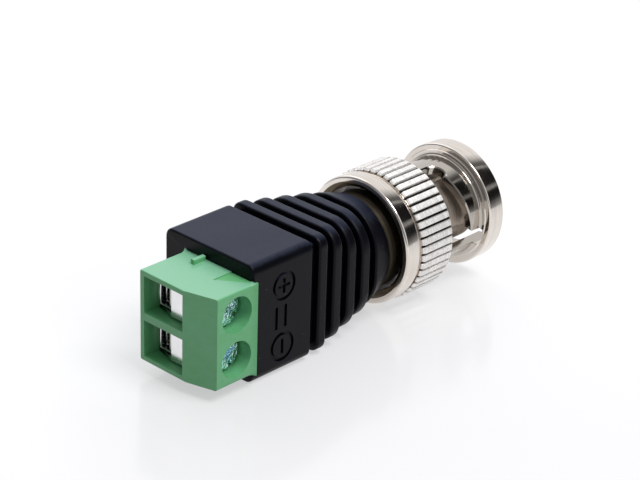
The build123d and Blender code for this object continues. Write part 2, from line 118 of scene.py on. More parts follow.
def rounded(corners: Sequence[Corner], steps: int = 5, closed: bool = True) -> list[Point2]:
    """Rounds the corners of an outline.

    Args:
        corners: Corners as (first, second, radius), where a radius of 0 stays sharp.
        steps: Straight pieces in each round.
        closed: Whether the last corner joins the first.

    Returns:
        The outline's points, in order.
    """
    points: list[Point2] = []
    last = len(corners) - 1
    for index, (first, second, radius) in enumerate(corners):
        if radius <= 0 or (not closed and index in (0, last)):
            points.append((first, second))
            continue
        here = Vector((first, second))
        before = (Vector(corners[index - 1][:2]) - here).normalized()
        after = (Vector(corners[(index + 1) % len(corners)][:2]) - here).normalized()
        half = before.angle(after) / 2
        centre = here + (before + after).normalized() * radius / math.sin(half)
        start = here + before * radius / math.tan(half) - centre
        end = here + after * radius / math.tan(half) - centre
        for step in range(steps + 1):
            point = centre + start.lerp(end, step / steps).normalized() * radius
            points.append((point.x, point.y))
    return points


def soft_rectangle(
    half_y: float, half_z: float, corner: float, middle_y: float = 0.0
) -> list[Point2]:
    """Outline of a rectangle with round corners, always with the same number of points.

    Args:
        half_y: Half its size along Y.
        half_z: Half its size along Z.
        corner: Radius of its corners.
        middle_y: Y of its middle.

    Returns:
        Points as (y, z), from the +Y side towards +Z.
    """
    points: list[Point2] = []
    for quarter, (side_y, side_z) in enumerate(((1, 1), (-1, 1), (-1, -1), (1, -1))):
        for step in range(CORNER_STEPS + 1):
            turn = (quarter + step / CORNER_STEPS) * math.pi / 2
            points.append((
                middle_y + side_y * (half_y - corner) + corner * math.cos(turn),
                side_z * (half_z - corner) + corner * math.sin(turn),
            ))
    return points


def even_turns(count: int) -> list[float]:
    """Angles that share a full turn evenly."""
    return [FULL_TURN * index / count for index in range(count)]


def rim_round(radius: float, steps: int = RIM_STEPS) -> list[Point2]:
    """Points of a rounded rim as (way from its face, inset), from the face inwards."""
    turns = (math.pi / 2 * step / steps for step in range(steps + 1))
    return [(radius * (1 - math.cos(turn)), radius * (1 - math.sin(turn))) for turn in turns]


# Meshes


def make_piece(name: str, points: Sequence[Point3], faces: Sequence[Sequence[int]]) -> Piece:
    """Makes a smooth-shaded mesh object from points in millimetres.

    Args:
        name: Name of the piece.
        points: Vertices in millimetres.
        faces: Corner numbers of each face.

    Returns:
        The new object, linked to the scene.
    """
    mesh = bpy.data.meshes.new(name)
    mesh.from_pydata([tuple(value * MM for value in point) for point in points], [], faces)
    piece = bpy.data.objects.new(name, mesh)
    bpy.context.scene.collection.objects.link(piece)
    tidy_mesh(piece)
    return piece


def tidy_mesh(piece: Piece) -> None:
    """Joins doubled points, turns the faces outwards and shades them smooth."""
    work = bmesh.new()
    work.from_mesh(piece.data)
    bmesh.ops.remove_doubles(work, verts=work.verts, dist=JOINING)
    bmesh.ops.recalc_face_normals(work, faces=work.faces)
    work.to_mesh(piece.data)
    work.free()
    piece.data.shade_smooth()
    piece.data.set_sharp_from_angle(angle=SHARP_ANGLE)


def skin(name: str, rows: Sequence[Row], closed: bool = True) -> Piece:
    """Joins rows of points, each a closed loop or a single point, by faces.

    Args:
        name: Name of the piece.
        rows: Loops of equally many points, or single points where the skin closes.
        closed: Whether the last row joins the first. Otherwise full end rows are capped.

    Returns:
        The new object.
    """
    points: Row = []
    numbers: list[list[int]] = []
    for row in rows:
        numbers.append(list(range(len(points), len(points) + len(row))))
        points.extend(row)
    count = max(len(row) for row in rows)
    following = numbers[1:] + numbers[:1] if closed else numbers[1:]
    faces: list[list[int]] = []
    for near, far in zip(numbers, following):
        for index in range(count):
            face = list(dict.fromkeys((
                near[index % len(near)], near[(index + 1) % len(near)],
                far[(index + 1) % len(far)], far[index % len(far)],
            )))
            if len(face) > 2:
                faces.append(face)
    if not closed:
        faces.extend(row for row in (numbers[0], numbers[-1]) if len(row) > 2)
    return make_piece(name, points, faces)


def lathe(
    name: str,
    outline: Sequence[Point2],
    turns: Sequence[float],
    reach: Callable[[float, float, float], float] | None = None,
    closed: bool = True,
) -> Piece:
    """Turns an outline about the X axis.

    Args:
        name: Name of the piece.
        outline: Points as (x, radius). Points on the axis close the surface.
        turns: Angles of the copies of the outline, from +Y towards +Z.
        reach: Gives the true radius from x, radius and turn, for knurls and threads.
        closed: Whether the outline's last point joins its first.

    Returns:
        The new object.
    """
    rows: list[Row] = []
    for station, radius in outline:
        if radius < ON_AXIS:
            rows.append([(station, 0.0, 0.0)])
            continue
        row: Row = []
        for turn in turns:
            true_radius = reach(station, radius, turn) if reach else radius
            row.append((station, true_radius * math.cos(turn), true_radius * math.sin(turn)))
        rows.append(row)
    return skin(name, rows, closed)


def prism(name: str, outline: Sequence[Point2], low: float, high: float, axis: str = "X") -> Piece:
    """Makes a straight prism.

    Args:
        name: Name of the piece.
        outline: Its section: (y, z) for axis X, (x, z) for axis Y and (x, y) for axis Z.
        low: Where it starts along the axis.
        high: Where it ends along the axis.
        axis: X, Y or Z.

    Returns:
        The new object.
    """
    spot = "XYZ".index(axis)
    rows = [[(*point[:spot], level, *point[spot:]) for point in outline] for level in (low, high)]
    return skin(name, rows, closed=False)


def box(name: str, low: Point3, high: Point3) -> Piece:
    """Makes a box from its lowest and highest corners, as a tool for cutting."""
    outline = [(low[1], low[2]), (high[1], low[2]), (high[1], high[2]), (low[1], high[2])]
    return prism(name, outline, low[0], high[0])


def combine(piece: Piece, tools: Sequence[Piece], operation: str = "DIFFERENCE") -> None:
    """Cuts the tools out of a piece, or joins them to it, and removes the tools.

    Args:
        piece: The piece that changes.
        tools: Closed meshes.
        operation: DIFFERENCE or UNION.
    """
    for tool in tools:
        step = piece.modifiers.new(operation.lower(), "BOOLEAN")
        step.operation = operation
        step.solver = "EXACT"
        step.object = tool
    scene_state = bpy.context.evaluated_depsgraph_get()
    mesh = bpy.data.meshes.new_from_object(piece.evaluated_get(scene_state))
    spent = [piece.data, *(tool.data for tool in tools)]
    piece.modifiers.clear()
    piece.data = mesh
    bpy.data.batch_remove([*tools, *spent])
    mesh.name = piece.name
    tidy_mesh(piece)


def even_shading(piece: Piece) -> None:
    """Keeps large flat faces flat in the light beside small rounds."""
    step = piece.modifiers.new("even_shading", "WEIGHTED_NORMAL")
    step.keep_sharp = True
    step.weight = 60


def soften_edges(piece: Piece, width: float, weld: bool = False) -> None:
    """Rounds a piece's sharp edges with a small bevel.

    Args:
        piece: The piece, which keeps the bevel as a modifier.
        width: Width of the bevel in millimetres.
        weld: Whether points on top of each other are joined first.
    """
    if weld:
        piece.modifiers.new("weld", "WELD").merge_threshold = JOINING
    bevel = piece.modifiers.new("soft_edges", "BEVEL")
    bevel.width = width * MM
    bevel.segments = 2
    bevel.limit_method = "ANGLE"
    bevel.angle_limit = BEVEL_ANGLE
    bevel.use_clamp_overlap = True
    bevel.harden_normals = True


def wrapped_cutter(
    name: str, outline: Sequence[Point2], scale: float, levels: Sequence[Point2], spacing: float
) -> Piece:
    """Makes a cutter that wraps round the X axis.

    Args:
        name: Name of the cutter.
        outline: Points as (arc, x), with the arc measured at the scale radius.
        scale: Radius at which the arcs are true.
        levels: Pairs of radius and growth of the outline, from the inside outwards.
        spacing: Largest distance between points of its two curved ends.

    Returns:
        The cutter.
    """
    lows = [min(point[side] for point in outline) for side in (0, 1)]
    highs = [max(point[side] for point in outline) for side in (0, 1)]
    counts = [int((high - low) / spacing) for low, high in zip(lows, highs)]
    filling = [
        (lows[0] + (column + 0.5) * spacing, lows[1] + (row + 0.5) * spacing)
        for column in range(counts[0] + 1)
        for row in range(counts[1] + 1)
    ]
    filling = [point for point in filling if clear_inside(point, outline, spacing / 3)]
    border = len(outline)
    flat = [Vector(point) for point in [*outline, *filling]]
    solved = delaunay_2d_cdt(flat, [], [list(range(border))], 1, ON_AXIS)
    sources = [source[0] for source in solved[3]]
    cap = [[sources[corner] for corner in face] for face in solved[2]]

    def place(point: Point2, radius: float) -> Point3:
        turn = point[0] / scale
        return (point[1], radius * math.cos(turn), radius * math.sin(turn))

    points: Row = []
    faces: list[list[int]] = []
    for level, (radius, growth) in enumerate(levels):
        loop = grown(outline, growth)
        first = len(points)
        points.extend(place(point, radius) for point in loop)
        if level:
            for index in range(border):
                following = (index + 1) % border
                faces.append([
                    before + index, before + following, first + following, first + index,
                ])
        before = first
    for level in (0, len(levels) - 1):
        start = len(points)
        points.extend(place(point, levels[level][0]) for point in filling)
        offsets = (level * border, start - border)
        faces.extend([corner + offsets[corner >= border] for corner in face] for face in cap)
    return make_piece(name, points, faces)


def grown(outline: Sequence[Point2], distance: float) -> list[Point2]:
    """Moves an outline's points outwards. The outline runs anticlockwise."""
    points: list[Point2] = []
    for index, here in enumerate(outline):
        before = Vector(outline[index - 1])
        after = Vector(outline[(index + 1) % len(outline)])
        along = (after - before).normalized()
        points.append((here[0] + along.y * distance, here[1] - along.x * distance))
    return points


def clear_inside(point: Point2, outline: Sequence[Point2], margin: float) -> bool:
    """Tells whether a point lies inside an outline and away from its edges."""
    inside = False
    here = Vector(point)
    for index, corner in enumerate(outline):
        first, second = Vector(outline[index - 1]), Vector(corner)
        if (first.y > here.y) != (second.y > here.y):
            crossing = first.x + (here.y - first.y) / (second.y - first.y) * (second.x - first.x)
            inside ^= here.x < crossing
        run = second - first
        share = max(0.0, min(1.0, (here - first).dot(run) / max(run.length_squared, ON_AXIS**2)))
        if (first + run * share - here).length < margin:
            return False
    return inside


# Finishes


class Graph:
    """The nodes of one material or of the world, which end in one shader."""

    def __init__(self, owner: bpy.types.Material | bpy.types.World) -> None:
        """Takes the owner's nodes and adds its coordinates."""
        owner.use_nodes = True
        self.owner = owner
        self.nodes = owner.node_tree.nodes
        self.shader = self.nodes.get("Principled BSDF") or self.nodes["Background"]
        coordinates = self.add("TexCoord").outputs
        self.place = coordinates["Object"]
        self.facing = coordinates["Normal"]
        self.direction = coordinates["Generated"]

    def add(
        self, kind: str, inputs: dict[str | int, object] | None = None, **settings: object
    ) -> bpy.types.Node:
        """Adds a node.

        Args:
            kind: Blender's name for it, without ShaderNode.
            inputs: Values or sockets for its inputs.
            **settings: Its own settings.

        Returns:
            The node.
        """
        node = self.nodes.new(f"ShaderNode{kind}")
        for key, value in settings.items():
            setattr(node, key, value)
        for key, value in (inputs or {}).items():
            self.feed(node, key, value)
        return node

    def feed(self, node: bpy.types.Node, key: str | int, value: object) -> None:
        """Gives an input a value, or links a socket to it."""
        if isinstance(value, Socket):
            self.owner.node_tree.links.new(value, node.inputs[key])
        else:
            node.inputs[key].default_value = value

    def noise(self, per_mm: float, detail: float = 3.0, stretch: Point3 = (1, 1, 1)) -> Socket:
        """Gives noise from 0 to 1.

        Args:
            per_mm: Cells in a millimetre.
            detail: How many finer layers it has.
            stretch: Factors on the fineness along X, Y and Z.

        Returns:
            The noise's socket.
        """
        scale = [per_mm / MM * factor for factor in stretch]
        spot = self.add("Mapping", {"Vector": self.place, "Scale": scale}).outputs[0]
        return self.add("TexNoise", {"Vector": spot, "Scale": 1.0, "Detail": detail}).outputs[0]

    def spread(self, value: Socket, source: Point2, target: Point2 = (0.0, 1.0)) -> Socket:
        """Maps a value's source range onto the target range, and clamps it there."""
        return self.add("MapRange", {
            "Value": value, "From Min": source[0], "From Max": source[1],
            "To Min": target[0], "To Max": target[1],
        }).outputs[0]

    def blend(self, share: Socket, first: Color | Socket, second: Color | Socket) -> Socket:
        """Blends two colours, each a colour or a socket."""
        pair = [(*tone, 1.0) if isinstance(tone, tuple) else tone for tone in (first, second)]
        return self.add("Mix", {0: share, 6: pair[0], 7: pair[1]}, data_type="RGBA").outputs[2]

    def calculate(self, operation: str, *values: Socket | float) -> Socket:
        """Gives the result of one of the Math node's operations."""
        return self.add("Math", dict(enumerate(values)), operation=operation).outputs[0]

    def sum(self, first: Socket, second: Socket | float, factor: float = 1.0) -> Socket:
        """Gives first times factor plus second."""
        return self.calculate("MULTIPLY_ADD", first, factor, second)

    def parts(self, vector: Socket) -> Sequence[Socket]:
        """Gives the X, Y and Z of a vector."""
        return self.add("SeparateXYZ", {0: vector}).outputs

    def seen(self, *kinds: str) -> Socket:
        """Gives 1 where the camera looks at something, also through glass, otherwise 0.

        Args:
            *kinds: Further kinds of rays that count.

        Returns:
            The socket.
        """
        rays = self.add("LightPath").outputs
        share = rays["Is Camera Ray"]
        for kind in ("Is Transmission Ray", *kinds):
            share = self.calculate("MAXIMUM", share, rays[kind])
        return share

    def bump(self, height: Socket, depth: float) -> None:
        """Raises the surface by a height of 0 to 1 times the depth in millimetres."""
        node = self.add("Bump", {"Height": height, "Distance": depth * MM, "Strength": 1.0})
        self.feed(self.shader, "Normal", node.outputs[0])

    def finish(self, color: Socket, roughness: Socket, **values: float) -> None:
        """Sets the shader.

        Args:
            color: Base colour.
            roughness: Roughness.
            **values: Other inputs, with _ for the spaces in their names.
        """
        self.feed(self.shader, "Base Color", color)
        self.feed(self.shader, "Roughness", roughness)
        for key, value in values.items():
            self.feed(self.shader, key.replace("_", " "), value)


@dataclass(frozen=True)
class PlatedMetal:
    """Plated metal with turning lines, cloudy dulling, small pits and painted shade in its
    recesses.

    Attributes:
        name: Name of the material.
        color: Colour where it has not dulled.
        dulled: Colour where it has dulled.
        gloss: Lowest and highest roughness.
        lines_per_mm: Turning lines in a millimetre.
        line_depth: Depth of the lines in millimetres.
        pit_depth: Depth of the pits in millimetres.
        pits_per_mm: Pits in a millimetre.
        mottle: How much the pits tell in the dulling.
        painted_shade_radii: Distances from the X axis between which the painted shade of the
            hollows fades out.
        painted_shade_stations: Places along X between which the painted shade deeper inside comes
            in.
        painted_shade: Colour of the painted shade.
        ridge_pitch: Distance in millimetres between ridges, raised by bump and left bright through
            the painted shade.
        ridge_height: Height of those ridges in millimetres.
        slot: The record's material slot, where it isn't the material's own name.
    """

    name: str
    color: Color
    dulled: Color
    gloss: Point2
    lines_per_mm: float = 4.0
    line_depth: float = 0.002
    pit_depth: float = 0.003
    pits_per_mm: float = 9.0
    mottle: float = 0.0
    painted_shade_radii: Point2 | None = None
    painted_shade_stations: Point2 | None = None
    painted_shade: Color = (0.03, 0.027, 0.023)
    ridge_pitch: float = 0.0
    ridge_height: float = 0.3
    slot: str = ""

    def dress(self, graph: Graph) -> None:
        """Builds the finish in a material's nodes."""
        cloud = graph.noise(0.5, 4.0)
        lines = graph.noise(self.lines_per_mm, 2.0, (1.0, 0.02, 0.02))
        pits = graph.noise(self.pits_per_mm, 2.0)
        height = graph.sum(lines, graph.sum(pits, 0.0, self.pit_depth / self.line_depth))
        dulling = graph.sum(pits, graph.sum(cloud, lines, 0.35), self.mottle)
        least = 0.45 + 0.5 * self.mottle
        share = graph.spread(dulling, (least, least + 0.4))
        color = graph.blend(share, self.color, self.dulled)
        # Painted shade: the colour darkens nearer the X axis, in hollows such as the bore, the neck
        # and the knurl's grooves.
        if self.painted_shade_radii:
            across = graph.add("VectorMath", {0: graph.place, 1: (0, 1, 1)}, operation="MULTIPLY")
            reach = graph.add("VectorMath", {0: across.outputs[0]}, operation="LENGTH")
            low, high = (radius * MM for radius in self.painted_shade_radii)
            unshaded = graph.spread(reach.outputs["Value"], (low, high))
            color = graph.blend(unshaded, self.painted_shade, color)
        # Painted shade: the colour darkens deeper along X, and bumped ridges stay bright through
        # it.
        if self.painted_shade_stations:
            low, high = (station * MM for station in self.painted_shade_stations)
            in_painted_shade = graph.spread(graph.parts(graph.place)[0], (low, high))
            if self.ridge_pitch:
                ridges = graph.add("TexWave", {
                    "Vector": graph.place, "Scale": FULL_TURN / (20 * self.ridge_pitch * MM),
                    "Distortion": 0.3, "Detail": 1.0,
                }, bands_direction="X").outputs[1]
                unshaded = graph.spread(ridges, (0.35, 0.6), (1.0, 0.0))
                height = graph.sum(ridges, height, self.ridge_height / self.line_depth)
                in_painted_shade = graph.calculate("MULTIPLY", in_painted_shade, unshaded)
            color = graph.blend(in_painted_shade, color, self.painted_shade)
        roughness = graph.spread(graph.sum(pits, cloud, 0.5), (0.5, 1.0), self.gloss)
        graph.bump(height, self.line_depth)
        graph.finish(color, roughness, Metallic=1.0)


@dataclass(frozen=True)
class MouldedPlastic:
    """Moulded plastic with a fine grain, faint flow marks, scuffs, a little dust and, where set,
    painted light on the faces that look up.

    Attributes:
        name: Name of the material.
        color: Its colour.
        pale: Colour of its scuffs.
        gloss: Lowest and highest roughness.
        grain_per_mm: Grains in a millimetre.
        grain_depth: Depth of the grain in millimetres.
        dust: Strength of the dust flecks.
        flecks_per_mm: Cells in a millimetre, each with one fleck.
        specular: Strength of its reflections.
        painted_top_light: Colour of the faces that look up, paler where painted light falls on
            them.
        painted_top_light_above: Heights between which that painted light comes in.
    """

    name: str
    color: Color
    pale: Color
    gloss: Point2
    grain_per_mm: float = 7.0
    grain_depth: float = 0.01
    dust: float = 0.0
    flecks_per_mm: float = 1.3
    specular: float = 0.5
    painted_top_light: Color | None = None
    painted_top_light_above: Point2 = (2.0, 4.0)

    def dress(self, graph: Graph) -> None:
        """Builds the finish in a material's nodes."""
        grain = graph.noise(self.grain_per_mm, 4.0)
        flow = graph.noise(0.25, 3.0, (0.5, 1.0, 1.0))
        scuffs = graph.noise(1.6, 6.0, (1.0, 0.35, 1.2))
        share = graph.spread(graph.sum(scuffs, flow, 0.5), (0.62, 1.05))
        color = graph.blend(share, self.color, self.pale)
        # Painted light: faces that look up and stand high enough turn paler, mottled by the scuffs'
        # noise.
        if self.painted_top_light:
            up = graph.parts(graph.facing)[2]
            low, high = (level * MM for level in self.painted_top_light_above)
            above = graph.spread(graph.parts(graph.place)[2], (low, high))
            lit_top = graph.spread(graph.sum(scuffs, up, 0.3), (0.8, 1.12))
            color = graph.blend(graph.calculate("MULTIPLY", lit_top, above), color, self.painted_top_light)
        if self.dust:
            scale = [self.flecks_per_mm / MM] * 3
            spot = graph.add("Mapping", {"Vector": graph.place, "Scale": scale}).outputs[0]
            cells = graph.add("TexVoronoi", {"Vector": spot, "Scale": 1.0, "Randomness": 1.0})
            fleck = graph.spread(cells.outputs["Distance"], (0.03, 0.05), (self.dust, 0.0))
            color = graph.blend(fleck, color, (0.55, 0.55, 0.57))
        roughness = graph.spread(graph.sum(grain, flow, 0.6), (0.5, 1.1), self.gloss)
        graph.bump(grain, self.grain_depth)
        graph.finish(color, roughness, Specular_IOR_Level=self.specular)


@dataclass(frozen=True)
class StrandedWire:
    """Bare wire whose strands are laid in a long twist."""

    name: str
    color: Color
    dulled: Color
    strands_per_mm: float = 9.0

    def dress(self, graph: Graph) -> None:
        """Builds the finish in a material's nodes."""
        turned = graph.add("Mapping", {"Vector": graph.place, "Rotation": (0.0, 0.35, 0.35)})
        strands = graph.add("TexWave", {
            "Vector": turned.outputs[0], "Scale": self.strands_per_mm / MM / FULL_TURN,
            "Distortion": 1.5, "Detail": 2.0,
        }, bands_direction="Z").outputs[1]
        cloud = graph.noise(2.0, 3.0)
        color = graph.blend(graph.sum(cloud, strands, 0.5), self.dulled, self.color)
        graph.bump(strands, 0.03)
        graph.finish(color, graph.spread(cloud, (0.3, 0.7), (0.25, 0.45)), Metallic=1.0)


class Finish(Enum):
    """The finishes of the adapter's pieces, by the record's material slots."""

    PLUG = PlatedMetal("plug_metal", (0.5, 0.435, 0.375), (0.34, 0.29, 0.245), (0.4, 0.55))
    # A darker copy of the plug's metal: painted shade for the gap between the housing's nose and
    # the ring.
    FERRULE = PlatedMetal(
        "ferrule_metal_painted_shade", (0.17, 0.145, 0.105), (0.07, 0.058, 0.042), (0.35, 0.5), slot="plug_metal"
    )
    # Painted shade on the neck, in the bore and in the chamber: the colour darkens nearer the axis.
    RING = PlatedMetal(
        "ring_metal", (0.83, 0.775, 0.72), (0.72, 0.66, 0.6), (0.06, 0.16), 6.0, 0.0008, 0.0005,
        painted_shade_radii=(5.9, 6.35), painted_shade=(0.5, 0.465, 0.42),
    )
    # Frosted knurl, with painted shade in the bottoms of its grooves.
    KNURL = PlatedMetal(
        "knurl_metal", (1.0, 0.985, 0.965), (0.82, 0.8, 0.775), (0.56, 0.74), 5.0, 0.006, 0.05,
        pits_per_mm=5.5, mottle=1.0, painted_shade_radii=(7.26, 7.4), slot="ring_metal",
    )
    SPRING = PlatedMetal("spring_metal", (0.55, 0.55, 0.56), (0.4, 0.4, 0.42), (0.25, 0.4))
    PIN = PlatedMetal("pin_metal", (0.95, 0.74, 0.36), (0.78, 0.58, 0.26), (0.15, 0.28))
    SCREW = PlatedMetal(
        "screw_metal", (0.85, 0.97, 1.0), (0.6, 0.86, 0.98), (0.05, 0.14), 3.0, 0.02, 0.22,
        pits_per_mm=3.2,
    )
    # Painted shade inside the wire entries, behind the cages' front, with bumped ridges left bright
    # through it.
    CAGE = PlatedMetal(
        "cage_metal", (0.9, 0.89, 0.9), (0.8, 0.79, 0.81), (0.12, 0.25), 2.0,
        painted_shade_stations=(-37.65, -37.5), painted_shade=(0.05, 0.047, 0.042), ridge_pitch=0.85,
    )
    STRIP = PlatedMetal("strip_metal", (0.86, 0.84, 0.8), (0.6, 0.58, 0.54), (0.2, 0.36), 2.0)
    # Its upward faces get a painted bluish sheen.
    HOUSING = MouldedPlastic(
        "housing_plastic", (0.0008, 0.001, 0.003), (0.002, 0.0024, 0.006), (0.3, 0.44),
        dust=0.35, specular=0.13, painted_top_light=(0.0175, 0.0225, 0.0425),
    )
    # Its top face gets a painted, mottled pale sheen.
    TERMINAL = MouldedPlastic(
        "terminal_plastic", (0.135, 0.465, 0.19), (0.17, 0.52, 0.25), (0.3, 0.44),
        grain_depth=0.004, specular=0.6, painted_top_light=(0.225, 0.54, 0.335), painted_top_light_above=(5.13, 5.17),
    )
    DIELECTRIC = MouldedPlastic(
        "dielectric", (0.78, 0.77, 0.72), (0.84, 0.83, 0.79), (0.3, 0.42), grain_depth=0.003
    )
    GASKET = MouldedPlastic(
        "gasket_rubber", (0.085, 0.07, 0.06), (0.11, 0.09, 0.075), (0.55, 0.75), grain_per_mm=12.0
    )
    RED = MouldedPlastic(
        "insulation_red", (0.52, 0.02, 0.015), (0.6, 0.05, 0.04), (0.3, 0.42), grain_depth=0.003
    )
    BLACK = MouldedPlastic(
        "insulation_black", (0.015, 0.015, 0.016), (0.03, 0.03, 0.032), (0.3, 0.42),
        grain_depth=0.003,
    )
    COPPER = StrandedWire("copper_wire", (0.9, 0.52, 0.34), (0.55, 0.26, 0.14))

    @property
    def material(self) -> bpy.types.Material:
        """The finish's material, made at its first use beside the frame's plain one."""
        name = f"{self.value.name}_finish"
        if name not in bpy.data.materials:
            self.value.dress(Graph(bpy.data.materials.new(name)))
        return bpy.data.materials[name]

    @property
    def slot(self) -> str:
        """Name of the record's material slot that the finish belongs to."""
        return getattr(self.value, "slot", "") or self.value.name


# Sub-assemblies


@dataclass
class Assembly:
    """What every sub-assembly of the adapter shares.

    Attributes:
        pieces: The pieces made so far.
    """

    pieces: list[Piece] = field(default_factory=list)

    def fit(self, piece: Piece, body: Body, finish: Finish, *nodes: str) -> Piece:
        """Gives a new piece its body, finish and the solids that it stands for.

        Args:
            piece: The new piece.
            body: The body that it rides on.
            finish: Its finish.
            *nodes: The solids that it replaces.

        Returns:
            The piece.
        """
        even_shading(piece)
        piece.data.materials.clear()
        piece.data.materials.append(finish.material)
        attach(piece, body.value)
        finish.slot
        if nodes:
            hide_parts(*nodes)
        self.pieces.append(piece)
        return piece

    def keep(self, node: str, finish: Finish, edge: float = 0.0) -> None:
        """Dresses a solid that stays.

        Args:
            node: The solid's name.
            finish: Its finish.
            edge: Width in millimetres of the bevel on its edges.
        """
        piece = frame["nodes"][node]
        if not piece.material_slots:
            piece.data.materials.append(None)
        for place in piece.material_slots:
            place.material = finish.material
        if edge:
            soften_edges(piece, edge, weld=True)
            even_shading(piece)
        self.pieces.append(piece)


@dataclass
class BayonetRing(Assembly):
    """The turning ring with its knurl, its two bayonet slots and its snap ring."""

    rear: float = -9.85
    collar_front: float = -7.8
    knurl_rear: float = -7.4
    knurl_front: float = -2.4
    flange_rear: float = 4.21
    flange_step: float = 0.12
    mouth: float = 6.66
    bore: float = 4.85
    neck: float = 5.85
    flange: float = 7.15
    collar: float = 7.4
    undercut: float = 6.95
    knurl: float = 7.6
    chamber: float = 6.1
    chamber_front: float = -3.4
    snap_groove: Point3 = (-6.7, -5.9, 6.45)
    countersink: Point2 = (-9.3, 6.75)
    mouth_chamfer: float = 0.4
    tooth_count: int = 48
    tooth_shares: tuple[float, ...] = (0.1, 0.2, 0.24, 0.3, 0.5, 0.7, 0.76, 0.8, 0.9, 1.0)
    groove_depth: float = 0.38
    groove_floor: float = 0.1
    groove_half: float = 0.2
    tooth_round: float = 0.1
    tooth_crown: float = 0.04
    tooth_chamfer: Point2 = (0.3, 0.25)
    channel_angle: float = 200.5
    channel_half: float = 1.05
    channel_reach: Point2 = (4.2, 6.5)
    channel_corner: float = 0.6
    pocket_angle: float = 108.0
    pocket_x: float = 0.52
    pocket_radius: float = 1.35
    slot_rear: float = -1.6
    ramp_start: Point2 = (118.5, 1.42)
    ramp_end_x: float = 3.02
    ramp_bend: Point2 = (1.6, 0.35)
    slot_corner: float = 0.3
    hook: Point2 = (0.2, 0.1)
    slot_bevel: float = 0.16
    slot_spacing: float = 0.45

    def build(self) -> None:
        """Makes the ring and dresses the snap ring."""
        pitch = FULL_TURN / self.tooth_count
        turns = [
            (tooth + share) * pitch
            for tooth in range(self.tooth_count) for share in self.tooth_shares
        ]
        ring = lathe("bayonet_ring", self.section(), turns, self.knurled)
        levels = (
            (self.bore - 0.7, 0.0), (self.neck - 0.13, 0.0),
            (self.neck + 0.02, self.slot_bevel), (self.neck + 0.5, self.slot_bevel + 0.1),
        )
        cutters = []
        for turn in (0.0, 180.0):
            outline = self.slot_outline(turn)
            slot = wrapped_cutter(f"slot_{turn:.0f}", outline, self.neck, levels, self.slot_spacing)
            cutters.extend((slot, self.channel(turn)))
        combine(ring, cutters)
        self.fit(ring, Body.RING, Finish.RING, "coupling_ring")
        self.frost_knurl(ring)
        self.keep("snap_ring", Finish.SPRING, 0.06)

    def frost_knurl(self, ring: Piece) -> None:
        """Gives the knurl's faces their duller finish."""
        ring.data.materials.append(Finish.KNURL.material)
        low, high = self.knurl_rear - 0.05, self.knurl_front + 0.05
        floor = self.knurl - self.groove_depth - 0.01
        for face in ring.data.polygons:
            station, first, second = face.center / MM
            if low < station < high and math.hypot(first, second) > floor:
                face.material_index = 1

    def section(self) -> list[Point2]:
        """Outline of the ring as (x, radius)."""
        run, drop = self.tooth_chamfer
        rear, front, tip = self.knurl_rear, self.knurl_front, self.knurl - drop
        groove_rear, groove_front, groove = self.snap_groove
        step = self.flange_rear + self.flange_step
        return rounded([
            (self.rear, self.countersink[1], 0.08), (self.rear, self.collar, 0.3),
            (self.collar_front, self.collar, 0.15), (self.collar_front, self.undercut, 0.1),
            (rear, self.undercut, 0.1), (rear, tip, 0.05), (rear + run, self.knurl, 0.15),
            (front - run, self.knurl, 0.15), (front, tip, 0.05), (front, self.neck, 0.08),
            (self.flange_rear, self.neck, 0.3), (self.flange_rear, 6.42, 0.03), (step, 6.5, 0.03),
            (step, self.flange, 0.2), (self.mouth, self.flange, 0.2),
            (self.mouth, self.bore + self.mouth_chamfer, 0.1),
            (self.mouth - self.mouth_chamfer, self.bore, 0.15),
            (self.chamber_front, self.bore, 0.05), (self.chamber_front, self.chamber, 0.0),
            (groove_front, self.chamber, 0.0), (groove_front, groove, 0.0),
            (groove_rear, groove, 0.0), (groove_rear, self.chamber, 0.05),
            (self.countersink[0], self.chamber, 0.1),
        ], 4)

    def knurled(self, station: float, radius: float, turn: float) -> float:
        """Radius with the knurl's grooves cut in and its teeth a little crowned."""
        outside = not self.knurl_rear - 0.01 < station < self.knurl_front + 0.01
        if outside or radius < self.undercut + 0.05:
            return radius
        pitch = FULL_TURN * self.knurl / self.tooth_count
        phase = turn * self.tooth_count / FULL_TURN % 1.0
        away = min(phase, 1.0 - phase) * pitch
        depth = (self.groove_half - away) / (self.groove_half - self.groove_floor)
        share = max(0.0, min(1.0, depth))
        crown = self.tooth_crown * max(0.0, 1.0 - (away - self.groove_half) / self.tooth_round) ** 2
        return min(radius, self.knurl - self.groove_depth * share) - (0.0 if share else crown)

    def slot_outline(self, turn: float) -> list[Point2]:
        """Outline of one bayonet slot as (arc, x) on the neck, anticlockwise.

        Args:
            turn: Angle in degrees by which the slot is turned.

        Returns:
            The outline, from its rear corner below the pocket.
        """
        def arc(angle: float) -> float:
            return math.radians(angle + turn) * self.neck

